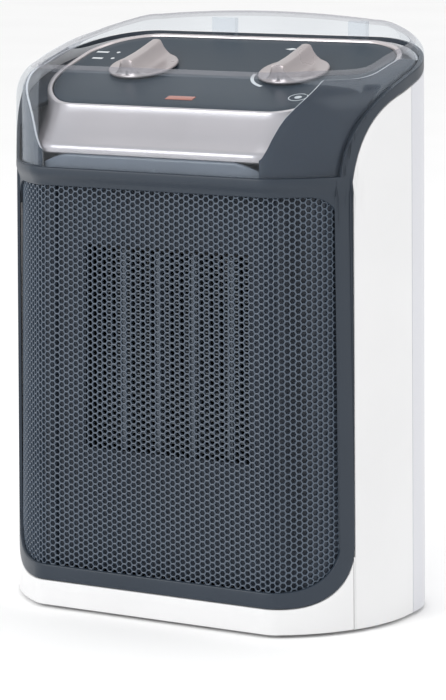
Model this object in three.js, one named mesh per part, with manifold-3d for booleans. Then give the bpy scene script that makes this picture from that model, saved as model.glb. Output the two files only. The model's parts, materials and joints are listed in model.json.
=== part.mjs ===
// A portable ceramic space heater, in millimetres, +Z up, front towards -Y.
// The origin is the middle of the footprint, on the surface that the feet stand on.
import * as THREE from 'three';
import { mergeVertices } from 'three/addons/utils/BufferGeometryUtils.js';
import Module from 'manifold-3d';

const wasm = await Module();
wasm.setup();

// ---- Driving dimensions -------------------------------------------------------------------
const WIDTH = 190; // across the sides, at the base
const DEPTH = 112; // from the collar's lip to the back
const HEIGHT = 262; // from the floor to the back of the clear rim
const GAP = 0.3; // between pieces that meet
const WALL = 2.5; // white shells and dark frame
const COVER_WALL = 2.6; // clear hoop
const SIDE_DRAFT = 0.000154; // share of the width lost for each mm of height

// Plan outline: a flat front, a tight corner, a sweeping side and a rounded rear corner.
const CORNER_RADIUS = 12.9;
const CORNER_TURN = THREE.MathUtils.degToRad(32);
const SWEEP_RADIUS = 70.2;
const REAR_RADIUS = 38;
const COLLAR_OVERHANG = 4; // lip of the collar, in front of the body

// Heights of the body, from the floor up.
const BASE_Z = 1.5; // underside of the body
const BEZEL_Z = 13; // lower edge of the dark bezel
const WINDOW_Z = 20; // lower edge of the grille opening
const WINDOW_TOP = 189.5; // upper edge of the grille opening
const LIP_Z = 196; // where the collar reaches its full overhang
const COLLAR_Z = 198; // top of the collar, under the clear hoop

// Distances behind the front face.
const BEZEL_DEPTH = 27; // the bezel's edge on the side
const BEZEL_CORNER = 24.5;
const WINDOW_DEPTH = 21; // the grille opening's edge on the side
const WINDOW_TOP_CORNER = 11;
const WINDOW_LOW_CORNER = 20;
const SEAM_DEPTH = 66.3; // where the two white shells meet

// The top: an inclined panel inside the hoop.
const PANEL_SLOPE = 0.288;
const PANEL_ORIGIN_Z = 220; // height of the panel's plane at the front face
const PANEL_INSET = 15.5;
const PANEL_THICKNESS = 2.5;
const PANEL_REAR_RADIUS = 27;
const FASCIA_INSET = 12.8;
const FASCIA_WALL = 2.2;
const FASCIA_BACK = 3.3; // from the back of the object
const DECK_THICKNESS = 2.5;
const LINING_INSET = 4.2; // of the dark lining inside the hoop
const LINING_WALL = 2.4;
const LINING_TOP = 231;
const LINING_TOP_DEPTH = 20; // where the lining is at its top height, behind the front face
const SILL_Z = 201.5; // top of the sill in front of the fascia

// The clear hoop: heights of its rim and how far the rim rolls inwards, against the distance
// behind the front face.
const RIM_HEIGHTS = [[0, 242], [45, 242], [57, 244.4], [67, 247], [90, 251], [98, 254], [103, 256.5], [108, HEIGHT]];
const RIM_ROLLS = [[-4, 5.5], [10, 12], [72, 12], [100, 3.2]];
const ROLL_RISE = 16; // where the wall under the rim is tall enough
const LUGS = [{ x: -21, width: 12 }, { x: 47, width: 9 }]; // inside its back wall
const LUG_DEPTH = 5.6;
const LUG_HEIGHTS = [250.5, 258.5];

const KNOB_X = 38;
const KNOB_DEPTH = 60; // knob axes behind the front face, on the panel
const KNOB_RADIUS = 15.8;
const KNOB_HEIGHT = 9; // top of the grip above the panel
const GRIP_WIDTH = 5;
const SPINDLE_RADIUS = 3;
const LAMP_DEPTH = 26;
const LAMP_SIZE = [14, 4.6];

// Heater and fan.
const HEATER_WIDTH = 84;
const HEATER_HEIGHT = 90;
const HEATER_Z = 116; // centre of the heater and of the fan
const HEATER_DEPTH = 22; // front of the element, behind the front face
const ELEMENT_THICKNESS = 11;
const BAR_COUNT = 4;
const BAR_WIDTH = 2.6;
const BAR_PITCH = 18;
const FIN_PITCH = 7.8;
const FIN_THICKNESS = 0.6;
const FRAME_BORDER = 8;
const FAN_RADIUS = 45;
const FAN_CLEARANCE = 2;
const FAN_DEPTH = 42;
const FAN_THICKNESS = 16;
const BLADE_COUNT = 7;
const SHAFT_RADIUS = 2.5;
const RUNNING_CLEARANCE = 0.1;
const MOTOR_DEPTH = 68;
const MOTOR_STACK = 14;

// Small parts.
const FOOT_RADIUS = 7;
const FOOT_X = 66;
const FOOT_FRONT_DEPTH = 22;
const FOOT_REAR_DEPTH = 90;
const SCREW_RADIUS = 1.9;
const SCREW_HEAD_RADIUS = 3.7;
const SCREW_INSET = 45; // screw axes inside the casing's side
const SCREW_SEAT = 10; // heads behind the seam
const SCREW_HEIGHTS = [44, 205];
const GLAND = { x: 50, z: 26, neck: 6, flange: 8, bore: 3.2 };
const SLOT_COUNT = 10;
const SLOT_PITCH = 11;
const SLOT_HEIGHT = 5;
const CELL_PITCH = 13; // of the grille's open cells, up its height
const CELL_RADIUS = 6.4;

// ---- Values that follow ---------------------------------------------------------------------
const LIP_Y = -DEPTH / 2;
const FRONT_Y = LIP_Y + COLLAR_OVERHANG;
const BACK_Y = DEPTH / 2;
const SIDE_X = WIDTH / 2 - SWEEP_RADIUS; // centre of the sweeping side
const SIDE_Y = FRONT_Y + CORNER_RADIUS * (1 - Math.cos(CORNER_TURN)) + SWEEP_RADIUS * Math.cos(CORNER_TURN);
const FLAT_X = SIDE_X + (SWEEP_RADIUS - CORNER_RADIUS) * Math.sin(CORNER_TURN);
const SEAM_Y = FRONT_Y + SEAM_DEPTH;
const BEZEL_Y = FRONT_Y + BEZEL_DEPTH;
const PANEL_TILT = Math.atan(PANEL_SLOPE);
const DECK_TOP = -PANEL_THICKNESS - GAP; // below the panel's plane
const DECK_FRONT = FRONT_Y + 18; // where the deck steps down to the sill
const BAND_SLOPE = 0.3; // of the dark band and the hoop's lower edge, towards the back
const FAR = 400; // reach of cutting solids past the object

// ---- Materials ------------------------------------------------------------------------------
function finish(color, roughness, metalness = 0) {
  return new THREE.MeshStandardMaterial({ color, roughness, metalness });
}

const white = finish(0xf1f1f2, 0.45);
const slate = finish(0x414b56, 0.4);
const meshSlate = finish(0x39434d, 0.55);
const panelGloss = finish(0x454f59, 0.2);
const taupe = finish(0xb3a9a9, 0.35, 0.6);
const clear = finish(0xdfe3e6, 0.08);
const lampRed = finish(0xd98a78, 0.3);
const black = finish(0x1d1e20, 0.6);
const grey = finish(0x8b8f94, 0.6);
const steel = finish(0xa9adb1, 0.35, 0.9);
const aluminium = finish(0xc3c7ca, 0.4, 0.9);
const copper = finish(0xb06a3c, 0.4, 0.8);
const rubber = finish(0x2a2b2d, 0.9);

// ---- Solids ---------------------------------------------------------------------------------
function solid(geometry, matrix) {
  const bare = geometry.clone();
  bare.deleteAttribute('normal');
  bare.deleteAttribute('uv');
  if (matrix) bare.applyMatrix4(matrix);
  const merged = mergeVertices(bare, 1e-4);
  const vertProperties = new Float32Array(merged.attributes.position.array);
  const triVerts = new Uint32Array(merged.index.array);
  return new wasm.Manifold(new wasm.Mesh({ numProp: 3, vertProperties, triVerts }));
}

function toGeometry(manifold) {
  const mesh = manifold.getMesh();
  const geometry = new THREE.BufferGeometry();
  geometry.setAttribute('position', new THREE.BufferAttribute(mesh.vertProperties, 3));
  geometry.setIndex(new THREE.BufferAttribute(mesh.triVerts, 1));
  geometry.computeVertexNormals();
  return geometry;
}

function addPiece(parent, name, shape, material) {
  const geometry = shape.isBufferGeometry ? shape : toGeometry(shape);
  const mesh = new THREE.Mesh(geometry, material);
  mesh.name = name;
  parent.add(mesh);
  return mesh;
}

function union(solids) {
  return solids.reduce((sum, item) => sum.add(item));
}

function box(sizeX, sizeY, sizeZ, x, y, z) {
  return solid(new THREE.BoxGeometry(sizeX, sizeY, sizeZ).translate(x, y, z));
}

// A closed solid through rings of points at rising heights, narrowed by the side draft.
function loft(levels) {
  const count = levels[0].points.length;
  const positions = levels.flatMap(({ points, z }) => points.flatMap(
    (point) => [point.x * (1 - SIDE_DRAFT * (z - BASE_Z)), point.y, z]));
  const faces = [];
  for (let level = 0; level + 1 < levels.length; level += 1) {
    for (let i = 0; i < count; i += 1) {
      const a = level * count + i;
      const b = level * count + (i + 1) % count;
      faces.push(a, b, b + count, a, b + count, a + count);
    }
  }
  const top = (levels.length - 1) * count;
  for (const [a, b, c] of THREE.ShapeUtils.triangulateShape(levels[0].points, [])) {
    faces.push(a, c, b, a + top, b + top, c + top);
  }
  const geometry = new THREE.BufferGeometry();
  geometry.setAttribute('position', new THREE.Float32BufferAttribute(positions, 3));
  geometry.setIndex(faces);
  return solid(geometry);
}

function prism(points, low, high) {
  return loft([{ points, z: low }, { points, z: high }]);
}

// A side-view outline, given as (y, z) points, run right across the object.
function across(profile, halfSpan = FAR) {
  const shape = new THREE.Shape(profile);
  const geometry = new THREE.ExtrudeGeometry(shape, { depth: 2 * halfSpan, bevelEnabled: false });
  geometry.translate(0, 0, -halfSpan);
  const turn = new THREE.Matrix4().makeBasis(
    new THREE.Vector3(0, 1, 0), new THREE.Vector3(0, 0, 1), new THREE.Vector3(1, 0, 0));
  return solid(geometry, turn);
}

// A front-view outline, given as (x, z) points, run from one depth to another.
function alongDepth(profile, front, back) {
  const shape = new THREE.Shape(profile);
  const geometry = new THREE.ExtrudeGeometry(shape, { depth: back - front, bevelEnabled: false });
  const turn = new THREE.Matrix4().makeBasis(
    new THREE.Vector3(1, 0, 0), new THREE.Vector3(0, 0, 1), new THREE.Vector3(0, -1, 0));
  return solid(geometry, turn.setPosition(0, back, 0));
}

// A cylinder along Y, by radius and its two ends.
function rod(radius, front, back, x = 0, z = 0, sides = 24) {
  const geometry = new THREE.CylinderGeometry(radius, radius, back - front, sides);
  return solid(geometry.translate(x, (front + back) / 2, z));
}

// A cylinder along Z.
function post(radius, low, high, x = 0, y = 0, sides = 24) {
  const geometry = new THREE.CylinderGeometry(radius, radius, high - low, sides);
  return solid(geometry.rotateX(Math.PI / 2).translate(x, y, (low + high) / 2));
}

function arc(x, y, radius, from, to, steps) {
  return Array.from({ length: steps + 1 }, (_, i) => {
    const angle = from + (to - from) * i / steps;
    return new THREE.Vector2(x + radius * Math.cos(angle), y + radius * Math.sin(angle));
  });
}

// ---- Outlines -------------------------------------------------------------------------------
// The plan outline at an inset from the casing's skin. A different front stretches the part
// ahead of the sides' centres.
function outline(inset, front = FRONT_Y + inset, back = BACK_Y - inset, rearRadius = REAR_RADIUS) {
  const sweep = SWEEP_RADIUS - inset;
  const flatY = FRONT_Y + inset;
  const corner = CORNER_RADIUS - inset;
  const firstTurn = corner > 0 ? CORNER_TURN : Math.acos((SIDE_Y - flatY) / sweep);
  const half = [];
  if (corner > 0) {
    half.push(...arc(FLAT_X, FRONT_Y + CORNER_RADIUS, corner, -Math.PI / 2, firstTurn - Math.PI / 2, 3));
    half.pop();
  }
  half.push(...arc(SIDE_X, SIDE_Y, sweep, firstTurn - Math.PI / 2, 0, 8));
  for (const point of half) {
    point.y = SIDE_Y + (point.y - SIDE_Y) * (SIDE_Y - front) / (SIDE_Y - flatY);
  }
  const radius = Math.max(rearRadius - inset, 2);
  half.push(...arc(SIDE_X + sweep - radius, back - radius, radius, 0, Math.PI / 2, 5));
  const mirrored = half.map((point) => new THREE.Vector2(-point.x, point.y)).reverse();
  return [...half, ...mirrored];
}

// The whole upper skin: body below the grille's top edge, then out to the collar's lip.
function casing(inset) {
  const body = outline(inset);
  const collar = outline(inset, LIP_Y + inset);
  return loft([
    { points: body, z: -FAR },
    { points: body, z: WINDOW_TOP + inset / 2 },
    { points: collar, z: LIP_Z + inset / 2 },
    { points: collar, z: FAR },
  ]);
}

function body(inset) {
  return prism(outline(inset), -FAR, FAR);
}

// Side-view lines, as (y, z) points from the front towards the back. An offset moves a line
// up and forwards.
function sideLine(start, first, second, end, slope, offset = 0) {
  const at = ([depth, z]) => new THREE.Vector2(FRONT_Y + depth - offset, z + offset);
  const curve = new THREE.CubicBezierCurve(at(start), at(first), at(second), at(end));
  const run = BACK_Y + 20 - (FRONT_Y + end[0]);
  const tail = new THREE.Vector2(BACK_Y + 20, end[1] + offset + slope * run);
  return [...curve.getPoints(8), tail];
}

// Lower edge of the dark band, which is the top edge of the white shells.
function bandLow(offset = 0) {
  return sideLine([BEZEL_DEPTH, 186], [28.6, 214], [38, 226.5], [58, 231.3], BAND_SLOPE, offset);
}

// Lower edge of the clear hoop.
function bandHigh(offset = 0) {
  return sideLine([23, COLLAR_Z], [24.5, 216], [36, 230], [56, 236], BAND_SLOPE, offset);
}

// The value at a position, from a list of (position, value) pairs joined by straight lines.
function between(pairs, position) {
  const next = pairs.findIndex(([start]) => start > position);
  if (next === 0) return pairs[0][1];
  if (next < 0) return pairs[pairs.length - 1][1];
  const [[start, from], [end, to]] = [pairs[next - 1], pairs[next]];
  return THREE.MathUtils.mapLinear(position, start, end, from, to);
}

// The bezel's lower corner, from the side up to the front.
function bezelCorner(gap) {
  const radius = BEZEL_CORNER + gap;
  return arc(BEZEL_Y - BEZEL_CORNER, BEZEL_Z + BEZEL_CORNER, radius, -Math.PI / 2, 0, 8);
}

function windowCutter(margin) {
  const edge = FRONT_Y + WINDOW_DEPTH + margin;
  const low = WINDOW_LOW_CORNER;
  const high = WINDOW_TOP_CORNER;
  return across([
    new THREE.Vector2(LIP_Y - 20, WINDOW_Z - margin),
    ...arc(edge - low, WINDOW_Z - margin + low, low, -Math.PI / 2, 0, 6),
    ...arc(edge - high, WINDOW_TOP + margin - high, high, 0, Math.PI / 2, 5),
    new THREE.Vector2(LIP_Y - 20, WINDOW_TOP + margin),
  ]);
}

function panelHeight(y, offset = 0) {
  return PANEL_ORIGIN_Z + PANEL_SLOPE * (y - FRONT_Y) + offset;
}

// Everything on one side of a plane that is parallel to the panel.
function belowPanel(offset, front = LIP_Y - 20) {
  const back = BACK_Y + 20;
  return across([
    new THREE.Vector2(front, -FAR),
    new THREE.Vector2(back, -FAR),
    new THREE.Vector2(back, panelHeight(back, offset)),
    new THREE.Vector2(front, panelHeight(front, offset)),
  ]);
}

// A frame whose +Z is the panel's normal, at a point on the panel's surface.
function panelGroup(x, depth) {
  const group = new THREE.Group();
  group.position.set(x, FRONT_Y + depth, panelHeight(FRONT_Y + depth));
  group.rotation.x = PANEL_TILT;
  group.updateMatrixWorld();
  return group;
}

function onPanel(geometry, group) {
  return solid(geometry, group.matrixWorld);
}

// ---- Casing ---------------------------------------------------------------------------------
const heater = new THREE.Group();
const knobSpots = { selector: panelGroup(-KNOB_X, KNOB_DEPTH), thermostat: panelGroup(KNOB_X, KNOB_DEPTH) };
const lampSpot = panelGroup(0, LAMP_DEPTH);
heater.add(knobSpots.selector, knobSpots.thermostat, lampSpot);

function spindleHole(group, radius) {
  const cutter = new THREE.CylinderGeometry(radius, radius, 60, 24).rotateX(Math.PI / 2);
  return onPanel(cutter, group);
}

function makeFrontFrame() {
  const profile = [
    new THREE.Vector2(LIP_Y - 20, BEZEL_Z),
    ...bezelCorner(0),
    ...bandLow(),
    ...bandHigh().reverse(),
    new THREE.Vector2(LIP_Y - 20, COLLAR_Z),
  ];
  return casing(0).subtract(casing(WALL)).intersect(across(profile)).subtract(windowCutter(0));
}

function screwPositions() {
  return SCREW_HEIGHTS.flatMap((z) => [-1, 1].map((side) => {
    const halfWidth = WIDTH / 2 * (1 - SIDE_DRAFT * (z - BASE_Z));
    return { x: side * (halfWidth - SCREW_INSET), z };
  }));
}

function makeFrontHousing() {
  const profile = [
    new THREE.Vector2(LIP_Y - 20, BASE_Z),
    new THREE.Vector2(SEAM_Y, BASE_Z),
    new THREE.Vector2(SEAM_Y, FAR),
    new THREE.Vector2(BEZEL_Y + GAP, FAR),
    ...bezelCorner(GAP).reverse(),
    new THREE.Vector2(LIP_Y - 20, BEZEL_Z - GAP),
  ];
  const underBand = [
    new THREE.Vector2(LIP_Y - 20, BASE_Z),
    new THREE.Vector2(BACK_Y + 20, BASE_Z),
    ...bandLow(-GAP).reverse(),
    new THREE.Vector2(BEZEL_Y + 1, BASE_Z + 100),
    new THREE.Vector2(LIP_Y - 20, BASE_Z + 100),
  ];
  let shell = body(0).subtract(body(WALL)).intersect(across(profile)).intersect(across(underBand));
  for (const { x, z } of screwPositions()) {
    const rib = box(SCREW_INSET, 22, 3, x + Math.sign(x) * SCREW_INSET / 2, SEAM_Y - 11, z);
    shell = shell.add(rod(5, SEAM_Y - 22, SEAM_Y, x, z, 16).add(rib).intersect(body(1)));
    shell = shell.subtract(rod(SCREW_RADIUS + RUNNING_CLEARANCE, SEAM_Y - 19, SEAM_Y + 1, x, z, 12));
  }
  return shell;
}

function makeRearHousing() {
  const front = SEAM_Y + GAP;
  const profile = [
    new THREE.Vector2(front, BASE_Z),
    new THREE.Vector2(BACK_Y + 20, BASE_Z),
    ...bandLow(-GAP).reverse(),
    new THREE.Vector2(LIP_Y, BASE_Z + 100),
  ];
  const behindSeam = box(WIDTH * 2, FAR, FAR * 2, 0, front + FAR / 2, 0);
  let shell = body(0).subtract(body(WALL)).intersect(across(profile)).intersect(behindSeam);
  for (const { x, z } of screwPositions()) {
    const sleeve = rod(6, front, BACK_Y, x, z, 16).intersect(body(1)).intersect(behindSeam);
    shell = shell.add(sleeve);
    shell = shell.subtract(rod(SCREW_HEAD_RADIUS + GAP, SEAM_Y + SCREW_SEAT, BACK_Y + 1, x, z, 16));
    shell = shell.subtract(rod(SCREW_RADIUS + GAP, SEAM_Y - 1, SEAM_Y + SCREW_SEAT + 1, x, z, 12));
  }
  for (let row = 0; row < SLOT_COUNT; row += 1) {
    const z = HEATER_Z + (row - (SLOT_COUNT - 1) / 2) * SLOT_PITCH;
    for (const side of [-1, 1]) {
      shell = shell.subtract(box(48, 20, SLOT_HEIGHT, side * 27, BACK_Y, z));
    }
  }
  shell = shell.add(rod(GLAND.flange + 2.5, BACK_Y - 6, BACK_Y - 1, GLAND.x, GLAND.z));
  shell = shell.subtract(rod(GLAND.flange + GAP, BACK_Y - 3, BACK_Y + 1, GLAND.x, GLAND.z));
  return shell.subtract(rod(GLAND.neck + GAP, BACK_Y - 10, BACK_Y, GLAND.x, GLAND.z));
}

function makeBasePlate() {
  let plate = prism(outline(WALL + GAP), BASE_Z, BASE_Z + 3);
  for (const { x, y } of footPositions()) {
    plate = plate.subtract(post(2.5 + GAP, 0, BASE_Z + 4, x, y));
  }
  return plate;
}

function footPositions() {
  return [FOOT_FRONT_DEPTH, FOOT_REAR_DEPTH].flatMap(
    (depth) => [-1, 1].map((side) => ({ x: side * FOOT_X, y: FRONT_Y + depth })));
}

// A pad with a stem that plugs into the base plate.
function makeFoot() {
  const height = BASE_Z - GAP;
  const profile = [[0, 0], [FOOT_RADIUS - 0.5, 0], [FOOT_RADIUS, 0.5], [FOOT_RADIUS, height],
    [2.5, height], [2.5, BASE_Z + 2.6], [0, BASE_Z + 2.6]];
  const points = profile.map(([radius, z]) => new THREE.Vector2(radius, z));
  return solid(new THREE.LatheGeometry(points, 16).rotateX(Math.PI / 2));
}

// The curved grille: a skin that fills the bezel's opening and a flange behind its edge.
function makeGrille() {
  const skin = body(0.9).subtract(body(4.3)).intersect(windowCutter(-GAP));
  const flange = body(WALL + GAP).subtract(body(4.3)).intersect(windowCutter(4));
  let grille = skin.add(flange);
  const columns = 7;
  const rows = 7;
  const hexagon = arc(0, 0, CELL_RADIUS, 0, Math.PI * 5 / 3, 5);
  for (let column = 0; column < columns; column += 1) {
    for (let row = 0; row < rows - column % 2; row += 1) {
      const x = (column - (columns - 1) / 2) * CELL_PITCH * Math.sqrt(0.75);
      const z = HEATER_Z + (row - (rows - 1) / 2 + (column % 2) / 2) * CELL_PITCH;
      const cell = hexagon.map((point) => new THREE.Vector2(point.x + x, point.y + z));
      grille = grille.subtract(alongDepth(cell, LIP_Y - 5, FRONT_Y + 12));
    }
  }
  return grille;
}

// ---- Top ------------------------------------------------------------------------------------
// The hoop's section at one depth, as (inset, z) points: up the outside, over the rolled rim
// and down the inside.
function hoopSection(depth) {
  const low = COLLAR_Z + GAP;
  const rim = between(RIM_HEIGHTS, depth);
  const roll = between(RIM_ROLLS, depth);
  const seat = between(bandHigh(GAP).map(({ x, y }) => [x - FRONT_Y, y]), depth);
  const rise = Math.min(ROLL_RISE, rim - seat - 1.5);
  const quarter = arc(0, 0, 1, Math.PI, Math.PI / 2, 6);
  const outside = quarter.map(({ x, y }) => [roll * (1 + x), rim - rise * (1 - y)]);
  const [thinRoll, thinRise] = [roll - COVER_WALL, rise - COVER_WALL];
  const inside = quarter.map(({ x, y }) => [roll + thinRoll * x, rim - rise + thinRise * y]).reverse();
  return [[0, low], ...outside, ...inside, [COVER_WALL, low]];
}

// A wall all round the top that stands on the dark band and rolls inwards to its rim.
function makeClearCover() {
  const sections = outline(0, LIP_Y).map((point, index) => hoopSection(point.y - FRONT_Y).map(([inset, z]) => {
    const spot = outline(inset, LIP_Y + inset)[index];
    return [spot.x * (1 - SIDE_DRAFT * (z - BASE_Z)), spot.y, z];
  }));
  const around = sections.length;
  const count = sections[0].length;
  const faces = [];
  for (let i = 0; i < around; i += 1) {
    for (let k = 0; k < count; k += 1) {
      const [a, b] = [i * count + k, (i + 1) % around * count + k];
      const [c, d] = [i * count + (k + 1) % count, (i + 1) % around * count + (k + 1) % count];
      faces.push(a, b, d, a, d, c);
    }
  }
  const geometry = new THREE.BufferGeometry();
  geometry.setAttribute('position', new THREE.Float32BufferAttribute(sections.flat(2), 3));
  geometry.setIndex(faces);
  const aboveBand = [
    new THREE.Vector2(LIP_Y - 20, COLLAR_Z + GAP),
    ...bandHigh(GAP),
    new THREE.Vector2(BACK_Y + 20, FAR),
    new THREE.Vector2(LIP_Y - 20, FAR),
  ];
  const [lugLow, lugHigh] = LUG_HEIGHTS;
  const lugs = LUGS.map(({ x, width }) => box(
    width, LUG_DEPTH - 1, lugHigh - lugLow, x, BACK_Y - (LUG_DEPTH + 1) / 2, (lugLow + lugHigh) / 2));
  return solid(geometry).add(union(lugs)).intersect(across(aboveBand));
}

// The front of the lining is open where the fascia shows; the opening flares upwards.
function fasciaOpening() {
  const points = [[-54, SILL_Z + 3], [54, SILL_Z + 3], [82, 242], [-82, 242]];
  return alongDepth(points.map(([x, z]) => new THREE.Vector2(x, z)), LIP_Y - 20, FRONT_Y + 40);
}

function makeTopDeck() {
  const skin = LINING_INSET;
  const liningSide = [
    new THREE.Vector2(LIP_Y - 20, COLLAR_Z - 3),
    ...bandHigh(-5),
    new THREE.Vector2(BACK_Y + 20, panelHeight(BACK_Y + 20, DECK_TOP)),
    new THREE.Vector2(FRONT_Y + 80, panelHeight(FRONT_Y + 80, DECK_TOP)),
    new THREE.Vector2(FRONT_Y + LINING_TOP_DEPTH, LINING_TOP),
    new THREE.Vector2(LIP_Y - 20, LINING_TOP - 2),
  ];
  const lining = casing(skin).subtract(casing(skin + LINING_WALL)).intersect(across(liningSide));
  const top = DECK_TOP;
  const low = top - DECK_THICKNESS;
  const riser = DECK_FRONT;
  const back = BACK_Y + 20;
  const step = [
    new THREE.Vector2(LIP_Y - 20, SILL_Z - DECK_THICKNESS),
    new THREE.Vector2(riser + DECK_THICKNESS, SILL_Z - DECK_THICKNESS),
    new THREE.Vector2(riser + DECK_THICKNESS, panelHeight(riser + DECK_THICKNESS, low)),
    new THREE.Vector2(back, panelHeight(back, low)),
    new THREE.Vector2(back, panelHeight(back, top)),
    new THREE.Vector2(riser, panelHeight(riser, top)),
    new THREE.Vector2(riser, SILL_Z),
    new THREE.Vector2(LIP_Y - 20, SILL_Z),
  ];
  const floor = casing(skin + 0.3).intersect(across(step));
  const holes = Object.values(knobSpots).map((spot) => spindleHole(spot, SPINDLE_RADIUS + 1));
  const lampHole = onPanel(new THREE.BoxGeometry(LAMP_SIZE[0] + 2, LAMP_SIZE[1] + 2, 60), lampSpot);
  return lining.subtract(fasciaOpening()).add(floor).subtract(union([...holes, lampHole]));
}

function fasciaShell(inset, grow) {
  const rear = BACK_Y - FASCIA_BACK - grow;
  const ring = (front, z) => ({ points: outline(inset, FRONT_Y + front + grow, rear, PANEL_REAR_RADIUS + 13), z });
  return loft([ring(-0.5, SILL_Z + GAP - 1), ring(-0.5, SILL_Z + 3.5), ring(3, SILL_Z + 8),
    ring(FASCIA_INSET, 223.7), ring(FASCIA_INSET, FAR)]);
}

// The metallic front face with its bright lower lip, and the thin surround of the panel.
function makeFascia() {
  const shell = fasciaShell(FASCIA_INSET, 0).subtract(fasciaShell(FASCIA_INSET + FASCIA_WALL, FASCIA_WALL));
  const riser = DECK_FRONT - GAP;
  const top = -PANEL_THICKNESS;
  const space = [
    new THREE.Vector2(LIP_Y - 20, SILL_Z + GAP),
    new THREE.Vector2(riser, SILL_Z + GAP),
    new THREE.Vector2(riser, panelHeight(riser, top)),
    new THREE.Vector2(BACK_Y + 20, panelHeight(BACK_Y + 20, top)),
    new THREE.Vector2(BACK_Y + 20, panelHeight(BACK_Y + 20, 0.4)),
    new THREE.Vector2(LIP_Y - 20, panelHeight(LIP_Y - 20, 0.4)),
  ];
  const liningInside = casing(LINING_INSET + LINING_WALL + GAP).intersect(box(FAR, FAR, FAR * 2, 0, -FAR / 2, 0));
  const behindLining = box(FAR, FAR, FAR * 2, 0, FAR / 2 - GAP, 0);
  return shell.intersect(across(space)).intersect(liningInside.add(behindLining));
}

function makeControlPanel() {
  const inset = PANEL_INSET;
  const points = outline(inset, FRONT_Y + inset, BACK_Y - FASCIA_BACK - FASCIA_WALL - GAP, PANEL_REAR_RADIUS + inset);
  const slab = prism(points, PANEL_ORIGIN_Z - 20, HEIGHT + 20);
  const plate = slab.intersect(belowPanel(0)).subtract(belowPanel(-PANEL_THICKNESS));
  const holes = Object.values(knobSpots).map((spot) => spindleHole(spot, SPINDLE_RADIUS + 0.6));
  const lampHole = onPanel(new THREE.BoxGeometry(LAMP_SIZE[0], LAMP_SIZE[1], 20), lampSpot);
  return plate.subtract(union([...holes, lampHole]));
}

// ---- Controls -------------------------------------------------------------------------------
// A dished flange with a tall grip along the panel's slope, on its own spindle.
function makeKnob() {
  const clearance = 0.6;
  const profile = [[0, clearance], [KNOB_RADIUS - 0.8, clearance], [KNOB_RADIUS, 1.4],
    [KNOB_RADIUS - 0.4, 2.2], [10, 3.2], [6, 4.6], [0, 5.4]];
  const points = profile.map(([radius, z]) => new THREE.Vector2(radius, z));
  const flange = solid(new THREE.LatheGeometry(points, 32).rotateX(Math.PI / 2));
  const end = KNOB_RADIUS - 1;
  const side = [[-end, 1.8], [end, 1.8], [end - 0.5, KNOB_HEIGHT - 1], [end - 1.5, KNOB_HEIGHT],
    [1.5 - end, KNOB_HEIGHT], [-end, KNOB_HEIGHT - 1.5]];
  const grip = across(side.map(([y, z]) => new THREE.Vector2(y, z)), GRIP_WIDTH / 2);
  return flange.add(grip).subtract(post(SPINDLE_RADIUS + RUNNING_CLEARANCE, -1, 4));
}

// Its top is in the knob's socket and its lower end is in the switch.
function makeSpindle() {
  return post(SPINDLE_RADIUS, -15, 3.7);
}

function makeSwitchBody(sizeX, sizeY, sizeZ) {
  const top = DECK_TOP - DECK_THICKNESS - GAP;
  const block = box(sizeX, sizeY, sizeZ, 0, 0, top - sizeZ / 2);
  return block.subtract(post(SPINDLE_RADIUS + RUNNING_CLEARANCE, -15.5, 5));
}

function makeLampLens() {
  const margin = 2 * GAP;
  const window = box(LAMP_SIZE[0] - margin, LAMP_SIZE[1] - margin, 3.2, 0, 0, -1.2);
  return window;
}

function addControls() {
  addPiece(knobSpots.selector, 'selector_knob', makeKnob(), taupe);
  addPiece(knobSpots.selector, 'selector_spindle', makeSpindle(), steel);
  addPiece(knobSpots.selector, 'selector_switch', makeSwitchBody(34, 26, 14), black);
  addPiece(knobSpots.thermostat, 'thermostat_knob', makeKnob(), taupe);
  addPiece(knobSpots.thermostat, 'thermostat_spindle', makeSpindle(), steel);
  addPiece(knobSpots.thermostat, 'thermostat_body', makeSwitchBody(28, 32, 12), grey);
  addPiece(lampSpot, 'pilot_lens', makeLampLens(), lampRed);
  addPiece(lampSpot, 'pilot_lamp', box(9, 4, 8, 0, 0, -8), clear);
}

// ---- Heater ---------------------------------------------------------------------------------
const ELEMENT_FRONT = FRONT_Y + HEATER_DEPTH;
const ELEMENT_BACK = ELEMENT_FRONT + ELEMENT_THICKNESS;

function barX(index) {
  return (index - (BAR_COUNT - 1) / 2) * BAR_PITCH;
}

function makeHeaterFrame() {
  const outer = box(HEATER_WIDTH + 2 * FRAME_BORDER, ELEMENT_THICKNESS + 6, HEATER_HEIGHT + 2 * FRAME_BORDER,
    0, (ELEMENT_FRONT + ELEMENT_BACK) / 2, HEATER_Z);
  return outer.subtract(box(HEATER_WIDTH, ELEMENT_THICKNESS + 20, HEATER_HEIGHT, 0, ELEMENT_FRONT, HEATER_Z));
}

function makeBar() {
  return box(BAR_WIDTH, ELEMENT_THICKNESS, HEATER_HEIGHT - 2 * GAP, 0, ELEMENT_FRONT + ELEMENT_THICKNESS / 2, HEATER_Z);
}

// A strip of aluminium folded to and fro between two bars.
function makeFinPack(width) {
  const turns = Math.floor((HEATER_HEIGHT - 4) / FIN_PITCH);
  const low = HEATER_Z - turns * FIN_PITCH / 2;
  const depth = ELEMENT_THICKNESS - 1;
  const y = (ELEMENT_FRONT + ELEMENT_BACK) / 2;
  const fins = [box(width, depth, FIN_THICKNESS, 0, y, low)];
  for (let i = 1; i <= turns; i += 1) {
    const z = low + i * FIN_PITCH;
    const foldX = (i % 2 ? 1 : -1) * (width - FIN_THICKNESS) / 2;
    fins.push(box(width, depth, FIN_THICKNESS, 0, y, z));
    fins.push(box(FIN_THICKNESS, depth, FIN_PITCH, foldX, y, z - FIN_PITCH / 2));
  }
  return union(fins);
}

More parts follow.
